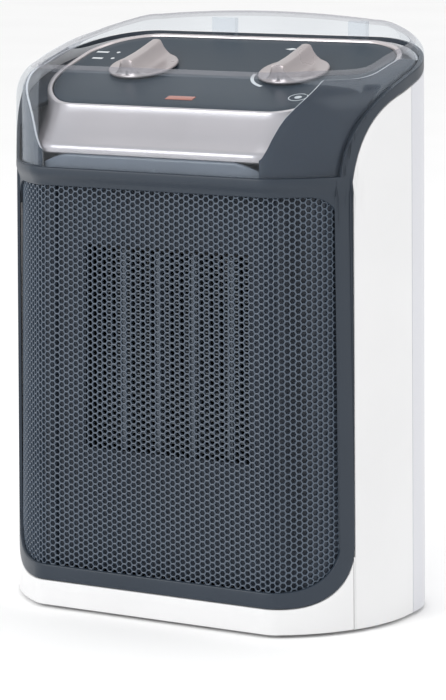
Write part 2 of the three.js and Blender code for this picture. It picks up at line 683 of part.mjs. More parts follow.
function addHeater() {
  addPiece(heater, 'heater_frame', makeHeaterFrame(), black);
  for (let i = 0; i < BAR_COUNT; i += 1) {
    const bar = addPiece(heater, `ceramic_bar_${i + 1}`, makeBar(), grey);
    bar.position.x = barX(i);
  }
  const edge = HEATER_WIDTH / 2;
  for (let i = 0; i <= BAR_COUNT; i += 1) {
    const left = i === 0 ? -edge : barX(i - 1) + BAR_WIDTH / 2;
    const right = i === BAR_COUNT ? edge : barX(i) - BAR_WIDTH / 2;
    const pack = addPiece(heater, `fin_pack_${i + 1}`, makeFinPack(right - left - 2 * GAP), aluminium);
    pack.position.x = (left + right) / 2;
  }
  const cutout = rod(6, ELEMENT_BACK + 3 + GAP, ELEMENT_BACK + 8, 0, 0);
  const thermal = addPiece(heater, 'thermal_cutout', cutout, steel);
  thermal.position.set(HEATER_WIDTH / 2 + 2, 0, HEATER_Z + HEATER_HEIGHT / 2 + 1);
}

// ---- Fan ------------------------------------------------------------------------------------
const FAN_FRONT = FRONT_Y + FAN_DEPTH;
const FAN_BACK = FAN_FRONT + FAN_THICKNESS;
const MOTOR_FRONT = FRONT_Y + MOTOR_DEPTH;
const MOTOR_BACK = MOTOR_FRONT + MOTOR_STACK;
const fan = new THREE.Group();
fan.position.z = HEATER_Z;
heater.add(fan);

function makeShroud() {
  const bore = FAN_RADIUS + FAN_CLEARANCE;
  const front = ELEMENT_BACK + 3 + GAP;
  const plate = box(HEATER_WIDTH + 10, 2, HEATER_HEIGHT + 10, 0, front + 1, 0);
  const ring = rod(bore + 2, front, FAN_BACK + 2, 0, 0, 40);
  return plate.add(ring).subtract(rod(bore, front - 1, FAN_BACK + 3, 0, 0, 40))
    .subtract(box(16, 20, 16, HEATER_WIDTH / 2 + 3, front, HEATER_HEIGHT / 2 + 2));
}

function makeImpeller() {
  const hub = rod(13, FAN_FRONT, FAN_BACK);
  const blades = Array.from({ length: BLADE_COUNT }, (_, i) => {
    const span = FAN_RADIUS - 10;
    const blade = new THREE.BoxGeometry(span, 1.6, 22).translate(10 + span / 2, 0, 0);
    const place = new THREE.Matrix4().makeRotationY(i * 2 * Math.PI / BLADE_COUNT);
    place.multiply(new THREE.Matrix4().makeRotationX(THREE.MathUtils.degToRad(32)));
    place.premultiply(new THREE.Matrix4().makeTranslation(0, (FAN_FRONT + FAN_BACK) / 2, 0));
    return solid(blade, place);
  });
  const bore = rod(SHAFT_RADIUS + RUNNING_CLEARANCE, FAN_FRONT + 3, FAN_BACK + 1);
  return union([hub, ...blades]).intersect(rod(FAN_RADIUS, FAN_FRONT - 4, FAN_BACK + 2, 0, 0, 48)).subtract(bore);
}

function makeBracket(front) {
  const plate = box(2 * (FAN_RADIUS + FAN_CLEARANCE + 2), 2, 16, 0, front + 1, 0);
  return plate.subtract(rod(SHAFT_RADIUS + RUNNING_CLEARANCE, front - 1, front + 3));
}

function makeStator() {
  const depth = (MOTOR_FRONT + MOTOR_BACK) / 2;
  const stack = box(46, MOTOR_STACK, 60, 0, depth, -8);
  const leg = box(22, MOTOR_STACK + 2, 18, 0, depth, -24);
  const crossbar = box(10, MOTOR_STACK, 19, 0, depth, -24);
  return stack.subtract(leg).add(crossbar).subtract(rod(11, MOTOR_FRONT - 1, MOTOR_BACK + 1, 0, 0, 32));
}

function makeCoil() {
  const depth = (MOTOR_FRONT + MOTOR_BACK) / 2;
  const winding = box(21, MOTOR_STACK + 9, 16, 0, depth, -24);
  return winding.subtract(box(10 + 2 * GAP, MOTOR_STACK + 2 * GAP, 30, 0, depth, -24));
}

function addFan() {
  addPiece(fan, 'fan_shroud', makeShroud(), black);
  addPiece(fan, 'fan_impeller', makeImpeller(), black);
  addPiece(fan, 'motor_shaft', rod(SHAFT_RADIUS, FAN_FRONT + 4, MOTOR_BACK + 9), steel);
  const rotor = rod(10.5, MOTOR_FRONT, MOTOR_BACK, 0, 0, 32);
  const bore = rod(SHAFT_RADIUS + RUNNING_CLEARANCE, MOTOR_FRONT - 1, MOTOR_BACK + 1);
  addPiece(fan, 'motor_rotor', rotor.subtract(bore), steel);
  addPiece(fan, 'motor_stator', makeStator(), steel);
  addPiece(fan, 'motor_coil', makeCoil(), copper);
  addPiece(fan, 'front_bracket', makeBracket(MOTOR_FRONT - 6), aluminium);
  addPiece(fan, 'rear_bracket', makeBracket(MOTOR_BACK + 4), aluminium);
}

// ---- Base and wiring ------------------------------------------------------------------------

// A flanged bush in the rear shell, where the mains lead would pass.
function makeGland() {
  const { neck, flange, bore } = GLAND;
  const profile = [[bore, -12], [neck, -12], [neck, GAP], [flange, GAP], [flange, 2.4], [bore, 2.4], [bore, -12]];
  return solid(new THREE.LatheGeometry(profile.map(([radius, y]) => new THREE.Vector2(radius, y)), 24));
}

function addBase() {
  addPiece(heater, 'base_plate', makeBasePlate(), white);
  footPositions().forEach(({ x, y }, index) => {
    const foot = addPiece(heater, `foot_${index + 1}`, makeFoot(), rubber);
    foot.position.set(x, y, 0);
  });
  const floor = BASE_Z + 3 + GAP;
  addPiece(heater, 'tip_over_switch', box(26, 20, 24, -45, FRONT_Y + 75, floor + 12), black);
  addPiece(heater, 'terminal_block', box(36, 14, 12, 40, FRONT_Y + 80, floor + 6), grey);
  const gland = addPiece(heater, 'cord_gland', makeGland(), black);
  gland.position.set(GLAND.x, BACK_Y - 3, GLAND.z);
}

// ---- Assembly -------------------------------------------------------------------------------
function makeScrew() {
  const seat = SEAM_Y + SCREW_SEAT + GAP;
  return rod(SCREW_HEAD_RADIUS, seat, seat + 2.6, 0, 0, 16).add(rod(SCREW_RADIUS, SEAM_Y - 18, seat + 1, 0, 0, 12));
}

function addCasing() {
  addPiece(heater, 'front_frame', makeFrontFrame(), slate);
  addPiece(heater, 'front_housing', makeFrontHousing(), white);
  addPiece(heater, 'rear_housing', makeRearHousing(), white);
  addPiece(heater, 'front_grille', makeGrille(), meshSlate);
  screwPositions().forEach(({ x, z }, index) => {
    const screw = addPiece(heater, `case_screw_${index + 1}`, makeScrew(), steel);
    screw.position.set(x, 0, z);
  });
}

function addTop() {
  addPiece(heater, 'clear_cover', makeClearCover(), clear);
  addPiece(heater, 'top_deck', makeTopDeck(), slate);
  addPiece(heater, 'control_fascia', makeFascia(), taupe);
  addPiece(heater, 'control_panel', makeControlPanel(), panelGloss);
}

addCasing();
addBase();
addTop();
addControls();
addHeater();
addFan();

export default heater;
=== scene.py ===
"""The looks of a ceramic space heater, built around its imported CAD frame.

Lengths inside the builders are millimetres in the CAD's frame: +Z up, front towards -Y.
"""

import json
import math

import bmesh
import bpy
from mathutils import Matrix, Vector


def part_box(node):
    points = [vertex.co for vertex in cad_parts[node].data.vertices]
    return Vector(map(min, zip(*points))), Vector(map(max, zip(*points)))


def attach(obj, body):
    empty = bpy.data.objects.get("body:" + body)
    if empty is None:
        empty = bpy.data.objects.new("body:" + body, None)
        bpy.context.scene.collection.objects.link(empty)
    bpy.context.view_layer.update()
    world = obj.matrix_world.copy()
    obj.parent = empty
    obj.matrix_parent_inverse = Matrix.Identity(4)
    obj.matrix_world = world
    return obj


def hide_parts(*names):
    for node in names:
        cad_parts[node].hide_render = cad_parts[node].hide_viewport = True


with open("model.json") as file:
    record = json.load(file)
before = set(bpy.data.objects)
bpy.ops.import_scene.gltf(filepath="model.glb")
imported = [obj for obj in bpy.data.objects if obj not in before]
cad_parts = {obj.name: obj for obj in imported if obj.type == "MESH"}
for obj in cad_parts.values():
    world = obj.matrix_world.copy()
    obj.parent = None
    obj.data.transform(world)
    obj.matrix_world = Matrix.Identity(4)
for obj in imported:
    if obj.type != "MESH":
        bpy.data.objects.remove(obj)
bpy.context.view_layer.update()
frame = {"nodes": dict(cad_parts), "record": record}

MM = 0.001


def node_box(*names):
    """Lowest and highest corners, in millimetres, round these CAD nodes."""
    low = [min(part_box(n)[0][i] for n in names) / MM for i in range(3)]
    high = [max(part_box(n)[1][i] for n in names) / MM for i in range(3)]
    return Vector(low), Vector(high)


# ---- Sizes that follow the CAD nodes ---------------------------------------------------------
BODY_LOW, BODY_HIGH = node_box("front_housing", "rear_housing")
HOOP_LOW, HOOP_HIGH = node_box("clear_cover")
FRAME_LOW = node_box("front_frame")[0]
HALF_WIDTH = BODY_HIGH.x
FRONT = BODY_LOW.y
LIP = HOOP_LOW.y
BACK = BODY_HIGH.y
BASE = BODY_LOW.z
TOP = HOOP_HIGH.z

# ---- Shape constants, in millimetres ---------------------------------------------------------
# A depth is measured back from the casing's front.
GAP = 0.3  # between pieces that meet
DRAFT = 0.000154  # how much the sides close in, per millimetre of height
CORNER = 12.9  # radius of the tight front corner
TURN = math.radians(32)  # how far the tight corner turns before the wide sweep
SWEEP = 70.2  # radius of the wide sweep into the side
REAR = 38.0  # radius of the rear corner
SHELL_WALL = 2.4
FRAME_WALL = 1.5
BAND_WALL = 2.2
BEZEL_DEPTH = 27.0
BEZEL_LOW = FRAME_LOW.z
BEZEL_CORNER = 24.5
WINDOW_DEPTH = 21.0
WINDOW_LOW = 20.0
WINDOW_TOP = 189.5
WINDOW_LOW_CORNER = 20.0
WINDOW_TOP_CORNER = 11.0
COLLAR = HOOP_LOW.z - GAP
COLLAR_START = 189.5  # where the collar starts to lean out over the bezel
COLLAR_FULL = 196.0
SEAM = 66.3  # depth of the seam between the two white shells
SEAM_HALF = 0.15
SOFT_CORNER = 17.0  # least front corner of the pieces inside the hoop
PANEL_SLOPE = 0.288
PANEL_Z = 220.0  # height of the panel's plane over the casing's front
PANEL_INSET = 15.5
FASCIA_INSET = 12.8
SILL = 201.5  # height of the ledge under the metallic face
# The hoop's rim height and how far it rolls inwards, each by depth.
RIM = [(-4, 242), (30, 241.8), (45, 242.3), (57, 244.6), (70, 247.4), (90, 251.2), (98, 253.8),
       (104, 256.6), (108, TOP - 2.6)]
BACK_CROWN = 2.6  # how much the rim bows up along the back
ROLL = [(-4, 5.0), (3, 7.5), (12, 11.8), (40, 12), (72, 11.8), (88, 7), (100, 3.6), (108, 3.2)]
SIDE_X = HALF_WIDTH - SWEEP
SIDE_Y = FRONT + CORNER * (1 - math.cos(TURN)) + SWEEP * math.cos(TURN)
FLAT_X = SIDE_X + (SWEEP - CORNER) * math.sin(TURN)


# ---- Curves ------------------------------------------------------------------------------------
def between(pairs, position):
    """The value at a position, from (position, value) pairs, straight between them."""
    if position <= pairs[0][0]:
        return pairs[0][1]
    for (start, low), (end, high) in zip(pairs, pairs[1:]):
        if position <= end:
            return low + (high - low) * (position - start) / (end - start)
    return pairs[-1][1]


def eased(pairs, position):
    """Like between, but smooth through the pairs."""
    pairs = [pairs[0]] + list(pairs) + [pairs[-1]]
    position = min(max(position, pairs[1][0]), pairs[-2][0])
    for i in range(1, len(pairs) - 2):
        if position <= pairs[i + 1][0]:
            (x0, y0), (x1, y1), (x2, y2), (x3, y3) = pairs[i - 1:i + 3]
            width = x2 - x1
            t = (position - x1) / width
            m1 = width * (y2 - y0) / (x2 - x0)
            m2 = width * (y3 - y1) / (x3 - x1)
            return ((2 * t**3 - 3 * t * t + 1) * y1 + (t**3 - 2 * t * t + t) * m1
                    + (3 * t * t - 2 * t**3) * y2 + (t**3 - t * t) * m2)
    return pairs[-1][1]


def bezier(a, b, c, d, count=40):
    """Points along a cubic curve from a to d, pulled towards b and c."""
    points = []
    for i in range(count + 1):
        t = i / count
        u = 1 - t
        points.append(tuple(u**3 * a[k] + 3 * u * u * t * b[k] + 3 * u * t * t * c[k] + t**3 * d[k]
                            for k in (0, 1)))
    return points


def with_tail(points, slope):
    """The points, carried on straight past the back of the casing."""
    depth, z = points[-1]
    return points + [(depth + 80, z + 80 * slope)]


# Lower and upper edges of the dark band, by depth.
BAND_LOW = with_tail(bezier((27, 186), (28.6, 214), (38, 226.5), (58, 231.3)), 0.3)
BAND_HIGH = with_tail(bezier((23, COLLAR), (24.5, 216), (36, 230), (56, 236)), 0.3)


def band_low(depth):
    """The dark band's lower edge."""
    return between(BAND_LOW, depth)


def band_high(depth):
    """The dark band's upper edge, level with the collar in front."""
    return COLLAR if depth < 23 else between(BAND_HIGH, depth)


def bezel_low(depth):
    """The bezel's lower edge: level in front, round at the corner."""
    over = depth - (BEZEL_DEPTH - BEZEL_CORNER)
    if over <= 0:
        return BEZEL_LOW
    over = min(over, BEZEL_CORNER)
    return BEZEL_LOW + BEZEL_CORNER - math.sqrt(BEZEL_CORNER**2 - over**2)


def window_low(depth, margin=0.0):
    """The window's lower edge, grown by a margin."""
    over = depth - (WINDOW_DEPTH + margin - WINDOW_LOW_CORNER)
    over = min(max(over, 0), WINDOW_LOW_CORNER)
    return WINDOW_LOW - margin + WINDOW_LOW_CORNER - math.sqrt(WINDOW_LOW_CORNER**2 - over**2)


def window_high(depth, margin=0.0):
    """The window's upper edge, grown by a margin."""
    over = depth - (WINDOW_DEPTH + margin - WINDOW_TOP_CORNER)
    over = min(max(over, 0), WINDOW_TOP_CORNER)
    return WINDOW_TOP + margin - WINDOW_TOP_CORNER + math.sqrt(WINDOW_TOP_CORNER**2 - over**2)


def panel_z(y, offset=0.0):
    """The inclined panel's height at a y."""
    return PANEL_Z + PANEL_SLOPE * (y - FRONT) + offset


# ---- Plan outline ------------------------------------------------------------------------------
def half_outline():
    """The right half of the casing's plan, front to back, as (x, y, normal x, normal y)."""
    points = [(FLAT_X * i / 30, FRONT, 0.0, -1.0) for i in range(30)]
    for i in range(12):
        a = TURN * i / 12 - math.pi / 2
        points.append((FLAT_X + CORNER * math.cos(a), FRONT + CORNER + CORNER * math.sin(a),
                       math.cos(a), math.sin(a)))
    for i in range(41):
        a = TURN - math.pi / 2 + (math.pi / 2 - TURN) * i / 40
        points.append((SIDE_X + SWEEP * math.cos(a), SIDE_Y + SWEEP * math.sin(a),
                       math.cos(a), math.sin(a)))
    for i in range(31):
        a = math.pi / 2 * i / 30
        points.append((HALF_WIDTH - REAR + REAR * math.cos(a), BACK - REAR + REAR * math.sin(a),
                       math.cos(a), math.sin(a)))
    points += [((HALF_WIDTH - REAR) * (1 - i / 16), BACK, 0.0, 1.0) for i in range(1, 17)]
    return points


HALF = half_outline()


def with_depths(depths, first, last):
    """The half outline between two depths, with a point at each given depth."""
    rows = []
    for a, b in zip(HALF, HALF[1:]):
        rows.append(a)
        for depth in sorted(d + FRONT for d in depths):
            if a[1] < depth < b[1]:
                t = (depth - a[1]) / (b[1] - a[1])
                rows.append(tuple(p + (q - p) * t for p, q in zip(a, b)))
    rows.append(HALF[-1])
    return [r for r in rows if first - 1e-4 <= r[1] - FRONT <= last + 1e-4]


def mirrored(rows):
    """The same rows on the left, in the order that carries on from the right half."""
    return [(-x, y, -nx, ny) for x, y, nx, ny in rows if x > 1e-6][::-1]


def smooth_step(t):
    """0 to 1, level at both ends."""
    t = min(max(t, 0.0), 1.0)
    return t * t * (3 - 2 * t)


def skin(row, inset, z, overhang=1.0):
    """A point of the casing: an outline row, how far inside the skin, and a height.

    The front half leans out under the hoop, by as much of the collar's reach as overhang says.
    """
    x, y, nx, ny = row
    reach = overhang * smooth_step((z - COLLAR_START) / (COLLAR_FULL - COLLAR_START))
    if y < SIDE_Y:
        y = SIDE_Y + (y - SIDE_Y) * (1 + reach * (FRONT - LIP) / (SIDE_Y - FRONT))
    x -= nx * inset
    y -= ny * inset
    return (x * (1 - DRAFT * (z - BASE)), y, z)


def depth_above_collar(row):
    """An outline row's depth above the collar, where the front half leans out."""
    return skin(row, 0, COLLAR_FULL)[1] - FRONT


# ---- Meshes --------------------------------------------------------------------------------------
def make(name, points, faces, material, body="casing", stands_for=(), smooth=30):
    """One visible piece, from points in millimetres, that rides on a body."""
    mesh = bpy.data.meshes.new(name)
    mesh.from_pydata([tuple(c * MM for c in p) for p in points], [], faces)
    mesh.validate()
    mesh.update()
    obj = bpy.data.objects.new(name, mesh)
    bpy.context.scene.collection.objects.link(obj)
    mesh.materials.append(material)
    for polygon in mesh.polygons:
        polygon.use_smooth = True
    mesh.set_sharp_from_angle(angle=math.radians(smooth))
    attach(obj, body)
    if stands_for:
        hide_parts(*stands_for)
    return obj


class Build:
    """Points and faces gathered for one piece."""

    def __init__(self):
        self.points = []
        self.faces = []

    def grid(self, rows, close_rows=False, close_columns=False, flip=False):
        """Joins rows of equally many points with quads."""
        first = len(self.points)
        count = len(rows[0])
        for row in rows:
            self.points += row
        for i in range(len(rows) if close_rows else len(rows) - 1):
            for k in range(count if close_columns else count - 1):
                a = first + i * count + k
                b = first + (i + 1) % len(rows) * count + k
                c = first + (i + 1) % len(rows) * count + (k + 1) % count
                d = first + i * count + (k + 1) % count
                self.faces.append((a, d, c, b) if flip else (a, b, c, d))

    def cap(self, loop, flip=False):
        """One face over a closed loop of points."""
        first = len(self.points)
        self.points += loop
        face = tuple(range(first, first + len(loop)))
        self.faces.append(face[::-1] if flip else face)

    def bar(self, section, left, right):
        """A closed bar along X, from a section of (y, z) points."""
        loops = [[(x, y, z) for y, z in section] for x in (left, right)]
        self.grid(loops, close_columns=True)
        self.cap(loops[0])
        self.cap(loops[1], flip=True)


def rounded(low, high, wall, radius, rows=6):
    """A wall's section as (inset, z) points: outside up, over a rounded top, inside down."""
    quarter = [math.pi / 2 * i / 4 for i in range(5)]
    up = [(radius * (1 - math.sin(a)), low + radius * (1 - math.cos(a))) for a in quarter]
    steps = [(0.0, low + radius + (high - low - 2 * radius) * i / rows) for i in range(1, rows)]
    over = [(radius * (1 - math.cos(a)), high - radius * (1 - math.sin(a))) for a in quarter]
    return up + steps + over + [(wall, high), (wall, low)]


def wall(build, rows, low, high, thickness, radius, round_ends, steps):
    """A closed shell over outline rows, from low(depth) to high(depth), with rounded edges."""
    columns = []
    spans = [(row, 0.0) for row in rows]
    if round_ends:
        spans[0:1] = shrunk_end(rows[0], rows[1], radius)
        spans[-1:] = shrunk_end(rows[-1], rows[-2], radius)[::-1]
    for row, inward in spans:
        depth = row[1] - FRONT
        lowest, highest = low(depth), high(depth)
        section = rounded(lowest, highest, thickness, min(radius, (highest - lowest) / 3), steps)
        columns.append([skin(row, max(inset, inward), z) for inset, z in section])
    build.grid(columns, close_columns=True)
    build.cap(columns[0])
    build.cap(columns[-1], flip=True)


def shrunk_end(end, neighbour, radius):
    """Extra outline rows that round a wall's upright edge."""
    length = math.hypot(neighbour[0] - end[0], neighbour[1] - end[1])
    made = []
    for i in range(4):
        a = math.pi / 2 * i / 4
        t = min(radius * (1 - math.cos(a)) / length, 0.95)
        row = tuple(p + (q - p) * t for p, q in zip(end, neighbour))
        made.append((row, radius * (1 - math.sin(a))))
    return made


# ---- Materials -------------------------------------------------------------------------------------
NOISE_SPAN = (0.3, 0.7)  # the part of a noise that a tone spreads over
BLOTCH_SCALE = 18
GRAIN_SCALE = 900
GRAIN_HEIGHT = 0.0004


def new_material(name):
    """A material with its nodes, links and main shader."""
    material = bpy.data.materials.new(name)
    material.use_nodes = True
    nodes = material.node_tree.nodes
    return material, nodes, material.node_tree.links, nodes["Principled BSDF"]


def toned(nodes, links, cloud, low, high):
    """The colour between two tones that follows a noise."""
    ramp = nodes.new("ShaderNodeValToRGB")
    for element, position, color in zip(ramp.color_ramp.elements, NOISE_SPAN, (low, high)):
        element.position = position
        element.color = (*color, 1)
    links.new(cloud.outputs["Fac"], ramp.inputs["Fac"])
    return ramp.outputs["Color"]


def noise(nodes, links, place, scale, detail):
    cloud = nodes.new("ShaderNodeTexNoise")
    cloud.inputs["Scale"].default_value = scale
    cloud.inputs["Detail"].default_value = detail
    links.new(place.outputs["Object"], cloud.inputs["Vector"])
    return cloud


def textured(name, low, high, roughness, metallic=0.0, bump=0.02, specular=0.5):
    """A finish with a faint uneven tone, an uneven gloss and a fine grain."""
    material, nodes, links, shader = new_material(name)
    place = nodes.new("ShaderNodeTexCoord")
    cloud = noise(nodes, links, place, BLOTCH_SCALE, 4)
    links.new(toned(nodes, links, cloud, low, high), shader.inputs["Base Color"])
    gloss = nodes.new("ShaderNodeMapRange")
    gloss.inputs["From Min"].default_value = NOISE_SPAN[0]
    gloss.inputs["From Max"].default_value = NOISE_SPAN[1]
    gloss.inputs["To Min"].default_value = roughness[0]
    gloss.inputs["To Max"].default_value = roughness[1]
    links.new(cloud.outputs["Fac"], gloss.inputs["Value"])
    links.new(gloss.outputs["Result"], shader.inputs["Roughness"])
    grain = noise(nodes, links, place, GRAIN_SCALE, 2)
    relief = nodes.new("ShaderNodeBump")
    relief.inputs["Strength"].default_value = bump
    relief.inputs["Distance"].default_value = GRAIN_HEIGHT
    links.new(grain.outputs["Fac"], relief.inputs["Height"])
    links.new(relief.outputs["Normal"], shader.inputs["Normal"])
    shader.inputs["Metallic"].default_value = metallic
    shader.inputs["Specular IOR Level"].default_value = specular
    return material


WHITE = textured("white_plastic", (0.70, 0.70, 0.705), (0.73, 0.73, 0.735), (0.36, 0.44), bump=0.05)
# The rear shell's white plastic, painted darker and bluer than the front shell's: painted shade where the
# rear turns away from the light.
SHADED_WHITE = textured("white_plastic_painted_shade", (0.59, 0.595, 0.63), (0.615, 0.62, 0.655),
                 (0.36, 0.44), bump=0.05)
SLATE = textured("slate_plastic", (0.021, 0.030, 0.043), (0.025, 0.035, 0.050),
                 (0.36, 0.44), specular=0.35, bump=0.006)
GLOSS_SLATE = textured("gloss_slate", (0.030, 0.040, 0.056), (0.036, 0.047, 0.065),
                       (0.20, 0.26), specular=0.35, bump=0.002)
PALE = textured("pale_lining", (0.62, 0.635, 0.66), (0.68, 0.69, 0.71), (0.25, 0.32), bump=0.002)
LEDGE = textured("ledge_plastic", (0.135, 0.155, 0.185), (0.165, 0.185, 0.215),
                 (0.20, 0.30), bump=0.002)
LATTICE = textured("slate_lattice", (0.060, 0.080, 0.110), (0.072, 0.095, 0.128),
                   (0.34, 0.44), bump=0.004)
BLIND = textured("blind_slate", (0.032, 0.043, 0.062), (0.040, 0.053, 0.076), (0.5, 0.6), bump=0.01)
PANEL = textured("panel_gloss", (0.023, 0.035, 0.049), (0.029, 0.042, 0.057),
                 (0.30, 0.36), specular=0.07, bump=0.0)
TAUPE = textured("taupe_metal", (0.55, 0.51, 0.513), (0.62, 0.575, 0.578),
                 (0.27, 0.33), metallic=0.6, bump=0.03)
KNOB = textured("knob_metal", (0.37, 0.335, 0.34), (0.42, 0.385, 0.385),
                (0.27, 0.33), metallic=0.6, bump=0.02)
LAMP = textured("lamp_lens", (0.40, 0.13, 0.09), (0.46, 0.17, 0.12), (0.15, 0.22), bump=0.0)
PRINT = textured("pale_print", (0.55, 0.58, 0.60), (0.62, 0.65, 0.67), (0.3, 0.4), bump=0.0)
TEAL = textured("teal_print", (0.15, 0.42, 0.42), (0.20, 0.50, 0.50), (0.3, 0.4), bump=0.0)
BLACK = textured("black_plastic", (0.012, 0.013, 0.014), (0.018, 0.019, 0.021),
                 (0.5, 0.6), bump=0.04)
GREY = textured("grey_ceramic", (0.16, 0.19, 0.23), (0.19, 0.22, 0.26), (0.6, 0.7), bump=0.06)
FIN = textured("fin_metal", (0.15, 0.17, 0.195), (0.20, 0.225, 0.25),
               (0.4, 0.5), metallic=0.5, bump=0.04)
STEEL = textured("steel", (0.42, 0.43, 0.44), (0.50, 0.51, 0.52),
                 (0.28, 0.40), metallic=1.0, bump=0.03)
COPPER = textured("copper_wire", (0.45, 0.20, 0.10), (0.55, 0.26, 0.13),
                  (0.30, 0.42), metallic=0.9, bump=0.15)
RUBBER = textured("rubber", (0.018, 0.018, 0.019), (0.026, 0.026, 0.027), (0.75, 0.85), bump=0.10)


def clear_plastic(name, tint, clearness, gloss_tint, roughness):
    """See-through plastic: mostly clear face on, more reflective at a glancing angle."""
    material, nodes, links, shader = new_material(name)
    through = nodes.new("ShaderNodeBsdfTransparent")
    cloud = noise(nodes, links, nodes.new("ShaderNodeTexCoord"), 14, 3)
    brighter = tuple(min(1.0, c * 1.05) for c in tint)
    links.new(toned(nodes, links, cloud, tint, brighter), through.inputs["Color"])
    edge = nodes.new("ShaderNodeFresnel")
    edge.inputs["IOR"].default_value = 1.4
    amount = nodes.new("ShaderNodeMapRange")
    amount.inputs["To Min"].default_value = 1 - clearness
    amount.inputs["To Max"].default_value = 0.2
    links.new(edge.outputs["Fac"], amount.inputs["Value"])
    shader.inputs["Base Color"].default_value = (*gloss_tint, 1)
    shader.inputs["Roughness"].default_value = roughness
    shader.inputs["Specular IOR Level"].default_value = 0.6
    mix = nodes.new("ShaderNodeMixShader")
    links.new(amount.outputs["Result"], mix.inputs["Fac"])
    links.new(through.outputs["BSDF"], mix.inputs[1])
    links.new(shader.outputs["BSDF"], mix.inputs[2])
    links.new(mix.outputs["Shader"], nodes["Material Output"].inputs["Surface"])
    return material


CLEAR = clear_plastic("clear_plastic", (0.90, 0.915, 0.93), 0.985, (0.50, 0.53, 0.57), 0.08)
# A greyer, less clear copy of the clear plastic for the faces over the rim: a painted highlight band where
# the rolled rim catches light.
RIM_PAINTED_HIGHLIGHT = clear_plastic("clear_rim_painted_highlight", (0.80, 0.80, 0.82), 0.80, (0.42, 0.43, 0.46), 0.15)


# ---- Casing ---------------------------------------------------------------------------------------
def front_housing():
    """The front shell: a skirt under the bezel, the two sides up to the seam, and what joins them."""
    build = Build()
    low_rows = with_depths([2.5, 10, 18, 22, 25, 26.4], 0, 26.7)
    front = mirrored(low_rows) + low_rows
    wall(build, front, lambda d: BASE, lambda d: bezel_low(d) - GAP, SHELL_WALL, 0.7, False, 3)
    seam = SEAM - SEAM_HALF
    side = with_depths([26.7, 27.3, 28, 29, 30.5, 33, 36, SEAM - 0.4, seam], 26.7, seam)
    side = [row for row in side if row[1] - FRONT > 27.2]
    for rows in (side, mirrored(side)):
        wall(build, rows, lambda d: BASE, lambda d: band_low(d) - GAP, SHELL_WALL, 0.45, True, 24)
    bridge = with_depths([26.7, 27.3], 26.6, 27.4)
    bridge_top = BEZEL_LOW + BEZEL_CORNER - 4
    for rows in (bridge, mirrored(bridge)):
        wall(build, rows, lambda d: BASE, lambda d: bridge_top, SHELL_WALL, 0.4, False, 6)
    return make("white_front_shell", build.points, build.faces, WHITE,
                stands_for=["front_housing"])


def rounded_slot(half_x, half_z, count=6):
    """Points round a slot with round ends, across and up."""
    points = []
    for side, start in ((1, -math.pi / 2), (-1, math.pi / 2)):
        for i in range(count + 1):
            a = start + math.pi * i / count
            points.append((side * (half_x - half_z) + half_z * math.cos(a), half_z * math.sin(a)))
    return points


def plug(build, outline, x, z, front, back):
    """A closed prism through the back wall, to cut with."""
    rows = [[(x + px, y, z + pz) for px, pz in outline] for y in (front, back)]
    build.grid(rows, close_columns=True)
    build.cap(rows[0])
    build.cap(rows[1], flip=True)


def weld(obj):
    """Joins points that coincide, and turns every face outwards."""
    mesh = bmesh.new()
    mesh.from_mesh(obj.data)
    bmesh.ops.remove_doubles(mesh, verts=mesh.verts, dist=1e-6)
    bmesh.ops.recalc_face_normals(mesh, faces=mesh.faces)
    mesh.to_mesh(obj.data)
    mesh.free()


def cut(obj, cutter):
    """Cuts one closed piece with another, which is then removed."""
    weld(obj)
    weld(cutter)
    modifier = obj.modifiers.new("cut", "BOOLEAN")
    modifier.object = cutter
    modifier.operation = "DIFFERENCE"
    modifier.solver = "MANIFOLD"
    made = obj.evaluated_get(bpy.context.evaluated_depsgraph_get())
    obj.data = bpy.data.meshes.new_from_object(made)
    obj.modifiers.clear()
    bpy.data.objects.remove(cutter)
    obj.data.set_sharp_from_angle(angle=math.radians(25))


def screw_spots():
    """The middle of each case screw, across and up."""
    names = [name for name in frame["nodes"] if name.startswith("case_screw")]
    return [((low.x + high.x) / 2, (low.z + high.z) / 2) for low, high in map(node_box, names)]


def circle(radius, count, x=0.0, y=0.0):
    """Points round a circle, without the first one again at the end."""
    return [(x + radius * math.cos(math.tau * i / count), y + radius * math.sin(math.tau * i / count))
            for i in range(count)]


LOUVRE_ROWS = 10
LOUVRE_PITCH = 11
LOUVRE_X = 26
LOUVRE_HALF = 22.5
BLADE_HALF = 23.5
WELL_RADIUS = 4.0


